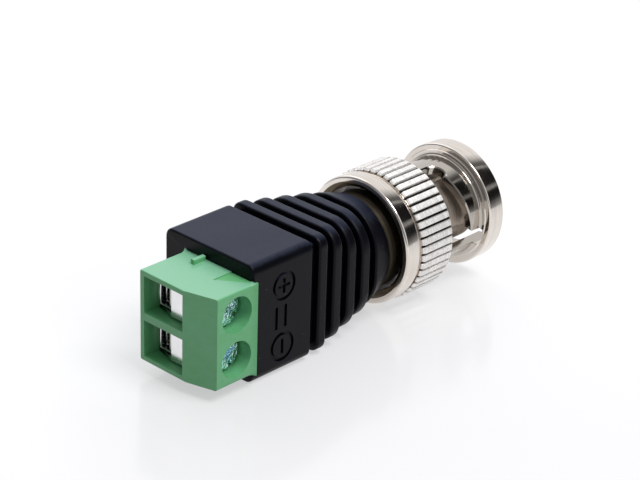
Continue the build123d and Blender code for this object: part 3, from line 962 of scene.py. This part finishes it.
        far = arc(self.channel_angle) + self.channel_half
        near = arc(self.channel_angle) - self.channel_half
        pocket, rear, corner = arc(self.pocket_angle), self.slot_rear, self.slot_corner
        start, start_x = arc(self.ramp_start[0]), self.ramp_start[1]
        hook, hook_x = start - self.hook[0], start_x - self.hook[1]
        top = self.flange_rear - 0.1
        slope = (self.ramp_end_x - start_x) / (arc(self.channel_angle) - start)
        meeting = start_x + slope * (near - start)
        run, flatness = self.ramp_bend
        high, low = Vector((near, meeting)), Vector((start, start_x))
        bend = Vector((start + run, start_x + run * slope * flatness))
        curve = [
            (*high.lerp(bend, step / 10).lerp(bend.lerp(low, step / 10), step / 10), 0.0)
            for step in range(1, 10)
        ]
        points = rounded([
            (pocket - self.pocket_radius, self.pocket_x - 0.1, 0.0),
            (pocket - self.pocket_radius, rear, corner), (far, rear, corner), (far, top, 0.0),
            (near, top, 0.0), (near, meeting, corner), *curve, (start, start_x, 0.0),
            (hook, hook_x, 0.0),
        ], 5)
        first = math.atan2(hook_x - self.pocket_x, hook - pocket)
        for step in range(1, 15):
            angle = first + (math.pi - first) * step / 14
            points.append((
                pocket + self.pocket_radius * math.cos(angle),
                self.pocket_x + self.pocket_radius * math.sin(angle),
            ))
        return points

    def channel(self, turn: float) -> Piece:
        """Cutter of the straight channel that lets a lug in from the mouth."""
        half, corner = self.channel_half, self.channel_corner
        low, high = self.channel_reach
        outline = rounded([
            (low, -half, 0.0), (high, -half, corner), (high, half, corner), (low, half, 0.0),
        ], 6)
        cutter = prism(f"channel_{turn:.0f}", outline, self.slot_rear, self.mouth + 1.0)
        cutter.data.transform(Matrix.Rotation(math.radians(self.channel_angle + turn), 4, "X"))
        return cutter


@dataclass
class Plug(Assembly):
    """The plug's turned body, ferrule, insulator, pin, gasket and spring pack."""

    slot_count: int = 4
    slot_angle: float = 10.0
    slot_width: float = 0.45
    slot_length: float = 4.3
    contact: float = 4.05
    contact_bore: float = 3.45
    contact_length: float = 5.2
    gasket_rear: float = -0.7
    gasket_bore: float = 3.8
    barrel: float = 4.7
    flange: float = 5.95
    flange_front: float = -3.4
    barrel_rear: float = -8.3
    tail: float = -13.6
    insulator: float = 2.87
    pin: float = 0.675
    pin_foot: float = 1.0
    pin_rear: float = -15.6
    ferrule: float = 5.6
    ferrule_front: float = -10.85
    spigot: float = 4.35
    spigot_end: float = -14.25
    spring_front: float = -4.3
    spring_height: float = 1.2
    spring_strip: float = 0.3
    spring_bore: float = 4.66
    spring_radius: float = 5.89

    def build(self) -> None:
        """Makes the plug's pieces."""
        self.build_shell()
        self.build_inside()
        self.build_spring()
        self.keep("thrust_washer", Finish.SPRING, 0.06)

    def build_shell(self) -> None:
        """Makes the turned body with its slotted contact, and the ferrule."""
        shell = lathe("plug_shell", rounded([
            (self.contact_length, self.contact_bore, 0.08),
            (self.contact_length, self.contact, 0.2), (0.0, self.contact, 0.05),
            (0.0, self.gasket_bore, 0.0), (self.gasket_rear, self.gasket_bore, 0.0),
            (self.gasket_rear, self.barrel, 0.12), (self.flange_front, self.barrel, 0.1),
            (self.flange_front, self.flange, 0.1), (self.spring_front, self.flange, 0.1),
            (self.spring_front, 4.5, 0.08), (self.barrel_rear, 4.5, 0.1),
            (self.barrel_rear, 3.45, 0.0), (self.tail, 3.45, 0.1), (self.tail, 2.9, 0.05),
            (0.0, 2.9, 0.0), (0.0, self.contact_bore, 0.1),
        ], 3), even_turns(128))
        half = self.slot_width / 2
        cutters = []
        for index in range(self.slot_count):
            cutter = box(
                f"contact_slot_{index}",
                (self.contact_length - self.slot_length, self.contact_bore - 0.4, -half),
                (self.contact_length + 1.0, self.contact + 0.4, half),
            )
            turn = math.radians(self.slot_angle) + FULL_TURN * index / self.slot_count
            cutter.data.transform(Matrix.Rotation(turn, 4, "X"))
            cutters.append(cutter)
        combine(shell, cutters)
        self.fit(shell, Body.ADAPTER, Finish.PLUG, "plug_body")
        ferrule = lathe("ferrule_shell", rounded([
            (self.barrel_rear, 3.48, 0.1), (self.barrel_rear, self.ferrule, 0.28),
            (self.ferrule_front, self.ferrule, 0.1), (self.ferrule_front, self.spigot, 0.05),
            (self.spigot_end, self.spigot, 0.15), (self.spigot_end, 3.48, 0.1),
        ], 4), even_turns(128))
        self.fit(ferrule, Body.ADAPTER, Finish.FERRULE, "rear_ferrule")

    def build_inside(self) -> None:
        """Makes the insulator, the pin and the gasket."""
        groove = -0.25
        sleeve = lathe("insulator_sleeve", rounded([
            (0.0, 1.03, 0.12), (0.0, 1.6, 0.05), (groove, 1.6, 0.05), (groove, 2.1, 0.05),
            (0.0, 2.1, 0.05), (0.0, self.insulator, 0.12), (self.tail, self.insulator, 0.12),
            (self.tail, 1.03, 0.1),
        ], 3), even_turns(96))
        self.fit(sleeve, Body.ADAPTER, Finish.DIELECTRIC, "centre_insulator")
        cup = -14.0
        pin = lathe("pin_contact", rounded([
            (cup, 0.0, 0.0), (cup, 0.55, 0.0), (self.pin_rear, 0.55, 0.1),
            (self.pin_rear, self.pin_foot, 0.1), (0.0, self.pin_foot, 0.08), (0.0, self.pin, 0.0),
            (4.35, self.pin, 0.3), (4.9, 0.22, 0.2), (4.9, 0.0, 0.0),
        ], 5, False), even_turns(64), closed=False)
        self.fit(pin, Body.ADAPTER, Finish.PIN, "centre_contact")
        gasket = lathe("foot_gasket", rounded([
            (self.gasket_rear, self.gasket_bore, 0.05), (self.gasket_rear, 4.72, 0.15),
            (-0.05, 4.72, 0.22), (-0.05, self.gasket_bore, 0.05),
        ], 5), even_turns(96))
        self.fit(gasket, Body.ADAPTER, Finish.GASKET, "sealing_gasket")

    def build_spring(self) -> None:
        """Makes the bent spring washer, drawn in its free bend; the real one flattens as the ring
        is pulled.
        """
        sagitta = self.spring_height - self.spring_strip
        bend = (self.spring_radius**2 + sagitta**2) / (2 * sagitta)
        strip = rounded([
            (0.0, self.spring_bore, 0.06), (0.0, self.spring_radius, 0.06),
            (-self.spring_strip, self.spring_radius, 0.06),
            (-self.spring_strip, self.spring_bore, 0.06),
        ], 2)
        rows: list[Row] = []
        for turn in even_turns(120):
            row: Row = []
            for depth, radius in strip:
                high = radius * math.sin(turn)
                drop = bend - math.sqrt(bend**2 - high**2)
                row.append((self.spring_front + depth - drop, radius * math.cos(turn), high))
            rows.append(row)
        spring = skin("wave_strip", rows)
        self.fit(spring, Body.ADAPTER, Finish.SPRING, "spring_washer")
        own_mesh(spring)


@dataclass
class Housing(Assembly):
    """The black shell: square block, ribs, round nose and engraved pole marks."""

    rear: float = -32.5
    block_front: float = -23.85
    front: float = -10.85
    half_y: float = 6.57
    half_z: float = 6.8
    corner: float = 1.05
    block_rim: float = 0.26
    rib_count: int = 4
    groove_width: float = 1.0
    rib_width: float = 1.335
    groove_depth: float = 0.8
    narrowing: Point2 = (0.11, 0.14)
    rib_corner: float = 1.3
    corner_growth: float = 0.93
    rib_rim: float = 0.3
    nose_radius: float = 5.9
    nose_corner: float = 5.0
    nose_rim: float = 0.35
    channel: float = 4.7
    spigot_bore: float = 4.38
    spigot_end: float = -14.28
    mark_depth: float = 0.22
    stroke: float = 0.38
    plus: Point2 = (-28.05, 3.25)
    minus: Point2 = (-28.15, -3.77)
    sign_half: float = 0.85

    def build(self) -> None:
        """Makes the housing and engraves its marks."""
        shell = skin("ribbed_housing", [*self.outer_rows(), *self.inner_rows()])
        combine(shell, self.marks())
        self.fit(shell, Body.ADAPTER, Finish.HOUSING, "housing")

    def row(self, station: float, size: Point3, inset: float = 0.0) -> Row:
        """One section of the shell, of half sizes along Y and Z and a corner radius, drawn in."""
        half_y, half_z, corner = size
        outline = soft_rectangle(half_y - inset, half_z - inset, max(corner - inset, 0.15))
        return [(station, *point) for point in outline]

    def rim_rows(self, face: float, side: int, size: Point3, rim: float) -> list[Row]:
        """Sections of a rounded rim.

        Args:
            face: Where the rim's face stands.
            side: 1 where that face looks to the rear, -1 where it looks to the front.
            size: Half the section along Y and Z, and the radius of its corners.
            rim: Radius of the rim.

        Returns:
            The rows, from the rear to the front.
        """
        rows = [self.row(face + side * way, size, inset) for way, inset in rim_round(rim)]
        return rows[::side]

    def band(self, start: float, end: float, size: Point3, rim: float) -> list[Row]:
        """Sections of a straight band with two rounded rims, from the rear to the front."""
        return [*self.rim_rows(start, 1, size, rim), *self.rim_rows(end, -1, size, rim)]

    def outer_rows(self) -> list[Row]:
        """Sections of the outside, from the rear to the nose."""
        block = (self.half_y, self.half_z, self.corner)
        rows = self.band(self.rear, self.block_front, block, self.block_rim)
        end = self.block_front
        for rib in range(self.rib_count + 1):
            half_y, half_z = (
                half - step * rib for half, step in zip((self.half_y, self.half_z), self.narrowing)
            )
            size = (half_y, half_z, self.rib_corner + self.corner_growth * rib)
            start = self.block_front + rib * (self.groove_width + self.rib_width)
            end = start + self.groove_width
            rows.extend(self.row(station, size, self.groove_depth) for station in (start, end))
            if rib < self.rib_count:
                rows.extend(self.band(end, end + self.rib_width, size, self.rib_rim))
        rows.extend(self.rim_rows(end, 1, (half_y, half_z, self.nose_corner), self.rib_rim))
        front = (self.nose_radius, self.nose_radius, self.nose_radius - 0.02)
        return [*rows, *self.rim_rows(self.front, -1, front, self.nose_rim)]

    def inner_rows(self) -> list[Row]:
        """Sections of the inside, from the nose's bore back to the terminal's pocket."""
        bores = (
            (self.front, 4.5), (self.front - 0.12, self.spigot_bore),
            (self.spigot_end, self.spigot_bore), (self.spigot_end, self.channel),
            (-29.2, self.channel),
        )
        rows = [self.row(station, (radius, radius, radius - 0.01)) for station, radius in bores]
        pocket = soft_rectangle(4.3, 5.0, 0.3, -1.0)
        rows.extend([(station, *point) for point in pocket] for station in (-30.2, self.rear))
        return rows

    def marks(self) -> list[Piece]:
        """Cutters of the two circled pole signs and of the two bars between them."""
        low, high = -self.half_y - 0.5, -self.half_y + self.mark_depth
        half = self.stroke / 2
        cutters: list[Piece] = []

        def cut_bar(name: str, centre: Point2, half_x: float, half_z: float) -> None:
            outline = [
                (centre[0] + first * half_x, centre[1] + second * half_z)
                for first, second in SQUARE
            ]
            cutters.append(prism(name, outline, low, high, "Y"))

        for name, centre, radius in (("plus", self.plus, 1.65), ("minus", self.minus, 1.7)):
            inner = radius - self.stroke
            section = [(low, inner), (low, radius), (high, radius), (high, inner)]
            cutter = lathe(f"{name}_circle", section, even_turns(64))
            place = Matrix.Translation((centre[0] * MM, 0.0, centre[1] * MM))
            cutter.data.transform(place @ Matrix.Rotation(math.pi / 2, 4, "Z"))
            cutters.append(cutter)
            cut_bar(f"{name}_bar", centre, half, self.sign_half)
        cut_bar("plus_arm", self.plus, self.sign_half, half)
        for name, station in (("rear_bar", -29.07), ("front_bar", -27.75)):
            cut_bar(name, (station, -0.27), half, 1.3)
        return cutters


@dataclass
class Terminal(Assembly):
    """The green block with its two screws, rising cages and contact strips."""

    end: float = -38.98
    rear: float = -32.5
    near_y: float = -7.01
    far_y: float = 3.35
    half_z: float = 5.2
    bevel: Point2 = (1.08, 3.88)
    lip: float = 0.27
    lip_length: float = 0.85
    end_rim: float = 0.15
    rib_y: float = 0.5
    rib_height: float = 0.55
    tongue_end: float = -30.3
    tongue_y: float = -1.0
    tongue_half: float = 4.2
    tongue_inset: float = 0.3
    shoulder: float = 1.2
    edge_round: float = 0.22
    flats: Point2 = (0.9, 0.5)
    horn: float = 0.28
    horn_width: float = 0.45
    entry_near: float = -3.05
    entry_far: float = 2.72
    entry_edges: Point2 = (0.44, 4.64)
    entry_depth: float = 6.38
    screw_x: float = -35.16
    screw_hole: float = 2.04
    shank_hole: float = 1.55
    seat_y: float = -4.41
    patch: tuple[Point2, ...] = ((-35.15, -3.4), (-32.95, -6.4), (-32.4, -6.4), (-32.4, -3.4))
    patch_depth: float = 0.1

    def build(self) -> None:
        """Makes the block and dresses what is inside it."""
        self.build_block()
        for pole in Pole:
            self.keep(f"clamp_cage_{pole.label}", Finish.CAGE, 0.08)
            self.keep(f"contact_strip_{pole.label}", Finish.STRIP, 0.05)

    def build_block(self) -> None:
        """Makes the moulded block with its flared lip, tongue, openings and rib."""
        middle = (self.near_y + self.far_y) / 2
        half_y = (self.far_y - self.near_y) / 2
        rows: list[Row] = []

        def add_row(station: float, inset: float, share: float = 0.0) -> None:
            outline = self.flared(half_y - inset + self.lip * share, inset, share)
            rows.append([(station, middle + first, second) for first, second in outline])

        for way, inset in rim_round(self.end_rim, 3):
            add_row(self.end + way, inset)
        for step in range(9):
            share = step / 8
            add_row(self.rear - self.lip_length * (1 - share), 0.0, share**2)
        add_row(self.rear, self.shoulder)
        tongue = self.tongue_end
        for station, inset in ((self.rear, 0.0), (tongue - 0.15, 0.0), (tongue, 0.1)):
            outline = self.flared(self.tongue_half - inset, self.tongue_inset + inset, 0.0)
            rows.append([(station, self.tongue_y + first, second) for first, second in outline])
        block = skin("terminal_shell", rows, closed=False)
        combine(block, [self.rib()], "UNION")
        combine(block, self.cutters())
        soften_edges(block, 0.07)
        self.fit(block, Body.ADAPTER, Finish.TERMINAL, "terminal_body")

    def flared(self, half_y: float, inset: float, share: float) -> list[Point2]:
        """Section of the block, whose four corners rise into small horns beside the lip.

        Args:
            half_y: Half its size along Y.
            inset: How far its top and bottom are drawn in.
            share: How much of the horns' height it has.

        Returns:
            Points as (y, z), always equally many, from the +Y side towards +Z.
        """
        half_z = self.half_z - inset
        raised = [
            (half_y - way, half_z - inset + self.horn * share * max(0.0, 1 - way / self.horn_width))
            for way, inset in rim_round(self.edge_round, 5)
        ]
        quarter = [
            (half_y, half_z - self.flats[1]), *raised, (half_y - self.horn_width, half_z),
            (half_y - self.flats[0], half_z),
        ]
        mirrored = [(-first, second) for first, second in reversed(quarter)]
        upper = [*quarter, *mirrored]
        return [*upper, *((first, -second) for first, second in reversed(upper))]

    def rib(self) -> Piece:
        """The short rib on top, which joins blocks side by side."""
        low, high = self.half_z - 0.1, self.half_z + self.rib_height
        foot, top = 0.22, 0.3
        outline = rounded([
            (self.rib_y - foot, low, 0.0), (self.rib_y + foot, low, 0.0),
            (self.rib_y + top, high, 0.12), (self.rib_y - top, high, 0.12),
        ], 4)
        return prism("dovetail", outline, self.rear - 1.8, self.rear - 0.2)

    def cutters(self) -> list[Piece]:
        """Cutters of the bevel, the wire entries, the screw holes and the shallow patch."""
        far, margin = 10.0, 4.0
        run, rise = self.bevel
        slope = rise / run
        cutters = [prism("bevel", [
            (self.end - 1.0, self.near_y + rise + slope), (self.end - 1.0, self.near_y - margin),
            (self.end + run + margin / slope, self.near_y - margin),
        ], -far, far, "Z")]
        for pole in Pole:
            side = 1 if pole is Pole.POSITIVE else -1
            low, high = sorted(side * edge for edge in self.entry_edges)
            cutters.append(box(
                f"entry_{pole.label}", (self.end - 1.0, self.entry_near, low),
                (self.end + self.entry_depth, self.entry_far, high),
            ))
            for name, radius, start_y, end_y in (
                ("head_hole", self.screw_hole, self.near_y - 1.0, self.seat_y),
                ("shank_hole", self.shank_hole, self.seat_y - 0.01, self.entry_near + 0.1),
            ):
                outline = [
                    (self.screw_x + radius * math.cos(turn), pole.value + radius * math.sin(turn))
                    for turn in even_turns(72)
                ]
                cutters.append(prism(f"{name}_{pole.label}", outline, start_y, end_y, "Y"))
        floor = self.half_z - self.patch_depth
        cutters.append(prism("patch", self.patch, floor, self.half_z + 1.0, "Z"))
        return cutters


@dataclass
class ClampScrew(Assembly):
    """One clamp screw: a chamfered head with a slot and a cross, and a threaded shank."""

    pole: Pole = Pole.POSITIVE
    body: Body = Body.SCREW_POSITIVE
    drive_turn: float = 0.0
    axis_x: float = -35.16
    face_y: float = -5.41
    head: float = 1.85
    head_height: float = 0.95
    shank: float = 1.45
    tip_y: float = 0.25
    pitch: float = 0.5
    thread_depth: float = 0.2
    thread_steps: int = 8

    def build(self) -> None:
        """Makes the screw along X, cuts its drive and turns it onto its own axis."""
        length = self.tip_y - self.face_y
        spacing = self.pitch / self.thread_steps
        count = int((length - self.head_height - 0.3) / spacing)
        start = self.head_height + 0.1
        stations = [(start + spacing * step, self.shank) for step in range(count + 1)]
        head = rounded([
            (0.0, 0.0, 0.0), (0.0, self.head, 0.18), (self.head_height, self.head, 0.1),
            (self.head_height, self.shank, 0.05), (start, self.shank, 0.0),
        ], 3, False)
        tip = [(length - 0.05, self.shank - 0.25), (length, self.shank - 0.35), (length, 0.0)]
        outline = [*head, *stations[1:], *tip]
        name = f"slotted_screw_{self.pole.label}"
        screw = lathe(name, outline, even_turns(64), self.threaded, closed=False)
        combine(screw, self.drive())
        place = Matrix.Translation((self.axis_x * MM, self.face_y * MM, self.pole.value * MM))
        screw.data.transform(place @ Matrix.Rotation(math.pi / 2, 4, "Z"))
        soften_edges(screw, 0.04)
        self.fit(screw, self.body, Finish.SCREW, f"clamp_screw_{self.pole.label}")

    def threaded(self, station: float, radius: float, turn: float) -> float:
        """Radius with the thread's groove cut in."""
        if station < self.head_height + 0.2 or abs(radius - self.shank) > ON_AXIS:
            return radius
        phase = (station / self.pitch - turn / FULL_TURN) % 1.0
        return radius - self.thread_depth * (1 - abs(2 * phase - 1))

    def drive(self) -> list[Piece]:
        """Cutters of the slot and of the tapering cross in the head."""
        def tapered(
            name: str, length: Point2, width: Point2, depth: float, turn: float
        ) -> Piece:
            rows: list[Row] = []
            for station, share in ((-0.5, 0), (0.0, 0), (depth, 1)):
                half_length, half_width = length[share] / 2, width[share] / 2
                rows.append([
                    (station, first * half_length, second * half_width) for first, second in SQUARE
                ])
            cutter = skin(name, rows, closed=False)
            cutter.data.transform(Matrix.Rotation(math.radians(self.drive_turn + turn), 4, "X"))
            return cutter

        return [
            tapered("slot", (4.2, 4.2), (0.5, 0.42), 0.42, 0.0),
            tapered("cross_long", (2.7, 1.1), (0.62, 0.34), 0.8, 0.0),
            tapered("cross_wide", (2.7, 1.1), (0.62, 0.34), 0.8, 90.0),
        ]


@dataclass
class Leads(Assembly):
    """The two leads between the terminal and the plug, inside the housing."""

    def build(self) -> None:
        """Dresses the cores and their insulation."""
        for lead, finish in (("signal_lead", Finish.RED), ("ground_lead", Finish.BLACK)):
            self.keep(f"{lead}_core", Finish.COPPER)
            self.keep(f"{lead}_insulation", finish)


# Studio


@dataclass
class Studio:
    """The floor, the lights, the surroundings and the camera."""

    azimuth: float = -46.84
    elevation: float = 26.01
    roll: float = 1.90
    distance: float = 233.1
    centre: Point2 = (253.06, 285.98)
    focal: float = 2210.5
    image: tuple[int, int] = (640, 480)
    target: Point3 = (-26.0, 0.0, 0.0)
    floor_rear: Point2 = (-32.4, -6.82)
    floor_front: Point2 = (-5.0, -7.62)
    floor_reach: float = 110.0
    floor_tones: tuple[Color, Color] = ((0.375, 0.375, 0.38), (0.39, 0.39, 0.395))
    floor_gloss: Point2 = (0.12, 0.16)
    # The floor's glow grows along a diagonal: a painted gradient, dimmer on the camera side in
    # front of the object.
    floor_glow: Point2 = (0.51, 0.585)
    painted_floor_shade_reach: Point2 = (-35.0, 45.0)
    front_tone: Color = (0.95, 0.97, 1.0)
    rear_tone: Color = (0.25, 0.25, 0.26)
    dark_tint: Color = (0.97, 0.97, 0.98)
    dark_side: tuple[Point2, ...] = (
        (-70.0, 0.9), (-21.0, 0.6), (-8.0, 0.34), (0.0, 0.15), (6.0, 0.04), (11.0, 0.012),
        (23.0, 0.01), (27.0, 0.28), (30.0, 0.28), (34.0, 0.012), (58.0, 0.01), (66.0, 0.03),
        (69.0, 0.4), (71.0, 0.4), (74.0, 0.06), (81.0, 0.16), (92.0, 0.65), (103.0, 1.0),
    )

    def build(self) -> None:
        """Makes everything around the object."""
        self.build_camera()
        self.build_floor()
        self.build_world()
        self.add_light("key", (20.0, -205.0, 405.0), 200.0, 1.15)
        self.add_light("back", (60.0, 330.0, 300.0), 350.0, 0.25)
        bpy.context.scene.view_settings.view_transform = "Standard"

    def build_camera(self) -> None:
        """Puts the camera where the photographed view was taken."""
        azimuth, elevation = math.radians(self.azimuth), math.radians(self.elevation)
        roll = math.radians(self.roll)
        right = Vector((math.cos(azimuth), math.sin(azimuth), 0.0))
        back = Vector((
            math.sin(azimuth) * math.cos(elevation), -math.cos(azimuth) * math.cos(elevation),
            math.sin(elevation),
        ))
        up = back.cross(right)
        across = right * math.cos(roll) + up * math.sin(roll)
        upward = up * math.cos(roll) - right * math.sin(roll)
        shift_x = (self.centre[0] - self.image[0] / 2) / self.focal * self.distance
        shift_y = -(self.centre[1] - self.image[1] / 2) / self.focal * self.distance
        spot = Vector(self.target) + back * self.distance - across * shift_x - upward * shift_y
        data = bpy.data.cameras.new("camera")
        data.sensor_width = 36.0
        data.lens = self.focal * data.sensor_width / self.image[0]
        data.clip_start, data.clip_end = 0.005, 5.0
        camera = bpy.data.objects.new("camera", data)
        turn = Matrix((across, upward, back)).transposed().to_4x4()
        camera.matrix_world = Matrix.Translation(spot * MM) @ turn
        bpy.context.scene.collection.objects.link(camera)
        bpy.context.scene.camera = camera

    def build_floor(self) -> None:
        """Lays the glossy white floor under the housing's rear edge and the ring."""
        run = self.floor_front[0] - self.floor_rear[0]
        slope = (self.floor_front[1] - self.floor_rear[1]) / run
        reach = self.floor_reach
        middle = self.floor_rear[0]
        points = [
            (middle + first * reach, second * reach, self.floor_rear[1] + slope * first * reach)
            for first, second in SQUARE
        ]
        floor = make_piece("floor", points, [[0, 1, 2, 3]])
        graph = Graph(bpy.data.materials.new("floor_gloss"))
        cloud = graph.spread(graph.noise(0.01, 2.0), (0.3, 0.7))
        color = graph.blend(cloud, *self.floor_tones)
        graph.finish(color, graph.spread(cloud, (0.0, 1.0), self.floor_gloss), IOR=1.38)
        # Painted shade: the glow is weaker in front of the object and stronger beyond it.
        heading = {0: graph.place, 1: (0.7, 0.7, 0.0)}
        away = graph.add("VectorMath", heading, operation="DOT_PRODUCT")
        near, far = (level * MM for level in self.painted_floor_shade_reach)
        level = graph.spread(away.outputs["Value"], (near, far), self.floor_glow)
        strength = graph.calculate("MULTIPLY", graph.seen("Is Glossy Ray"), level)
        glow = graph.add("Emission", {"Color": (0.99, 0.99, 1.0, 1.0), "Strength": strength})
        both = graph.add("AddShader", {0: graph.shader.outputs[0], 1: glow.outputs[0]})
        graph.feed(graph.nodes["Material Output"], "Surface", both.outputs[0])
        floor.data.materials.append(graph.owner)

    def build_world(self) -> None:
        """Surrounds the object with a white studio, dark beyond the ring and dim at the rear."""
        world = bpy.data.worlds.new("studio")
        bpy.context.scene.world = world
        graph = Graph(world)
        ahead, aside, above = graph.parts(graph.direction)
        around = graph.calculate("ARCTAN2", above, graph.spread(aside, (-1.0, 1.0), (1.0, -1.0)))
        ramp = graph.add("ValToRGB", {0: graph.spread(around, (-math.pi, math.pi))})
        stops = ramp.color_ramp.elements
        while len(stops) > 1:
            stops.remove(stops[-1])
        for index, (degrees, level) in enumerate(self.dark_side):
            stop = stops[0] if index == 0 else stops.new(1.0)
            stop.position = degrees / 360 + 0.5
            stop.color = (*(level * share for share in self.dark_tint), 1.0)
        sides = graph.blend(graph.spread(ahead, (0.3, 0.52)), self.front_tone, ramp.outputs[0])
        rear = graph.spread(ahead, (-0.45, 0.1), (1.0, 0.0))
        surroundings = graph.blend(rear, sides, self.rear_tone)
        graph.feed(graph.shader, "Color", graph.blend(graph.seen(), surroundings, (1.0, 1.0, 1.0)))
        graph.feed(graph.shader, "Strength", 1.0)

    def add_light(self, name: str, place: Point3, size: float, power: float) -> None:
        """Adds a square soft light that faces the object.

        Args:
            name: Its name.
            place: Where it hangs, in millimetres.
            size: Its side in millimetres.
            power: Its power in watts.
        """
        data = bpy.data.lights.new(name, "AREA")
        data.size = size * MM
        data.energy = power
        light = bpy.data.objects.new(name, data)
        spot = Vector(place)
        turn = (spot - Vector(self.target)).to_track_quat("Z", "Y")
        light.matrix_world = Matrix.Translation(spot * MM) @ turn.to_matrix().to_4x4()
        bpy.context.scene.collection.objects.link(light)


def main() -> None:
    """Builds the adapter's sub-assemblies and the studio."""
    assemblies: dict[str, Assembly] = {
        "bayonet ring": BayonetRing(),
        "plug": Plug(),
        "housing": Housing(),
        "terminal": Terminal(),
        "positive screw": ClampScrew(drive_turn=38.0),
        "negative screw": ClampScrew(pole=Pole.NEGATIVE, body=Body.SCREW_NEGATIVE, drive_turn=66.0),
        "leads": Leads(),
    }
    for title, assembly in assemblies.items():
        assembly.build()
        for piece in assembly.pieces:
            log.info("%s: %s, %d faces", title, piece.name, len(piece.data.polygons))
    Studio().build()


if __name__ == "__main__":
    logging.basicConfig(level=logging.INFO)
    main()
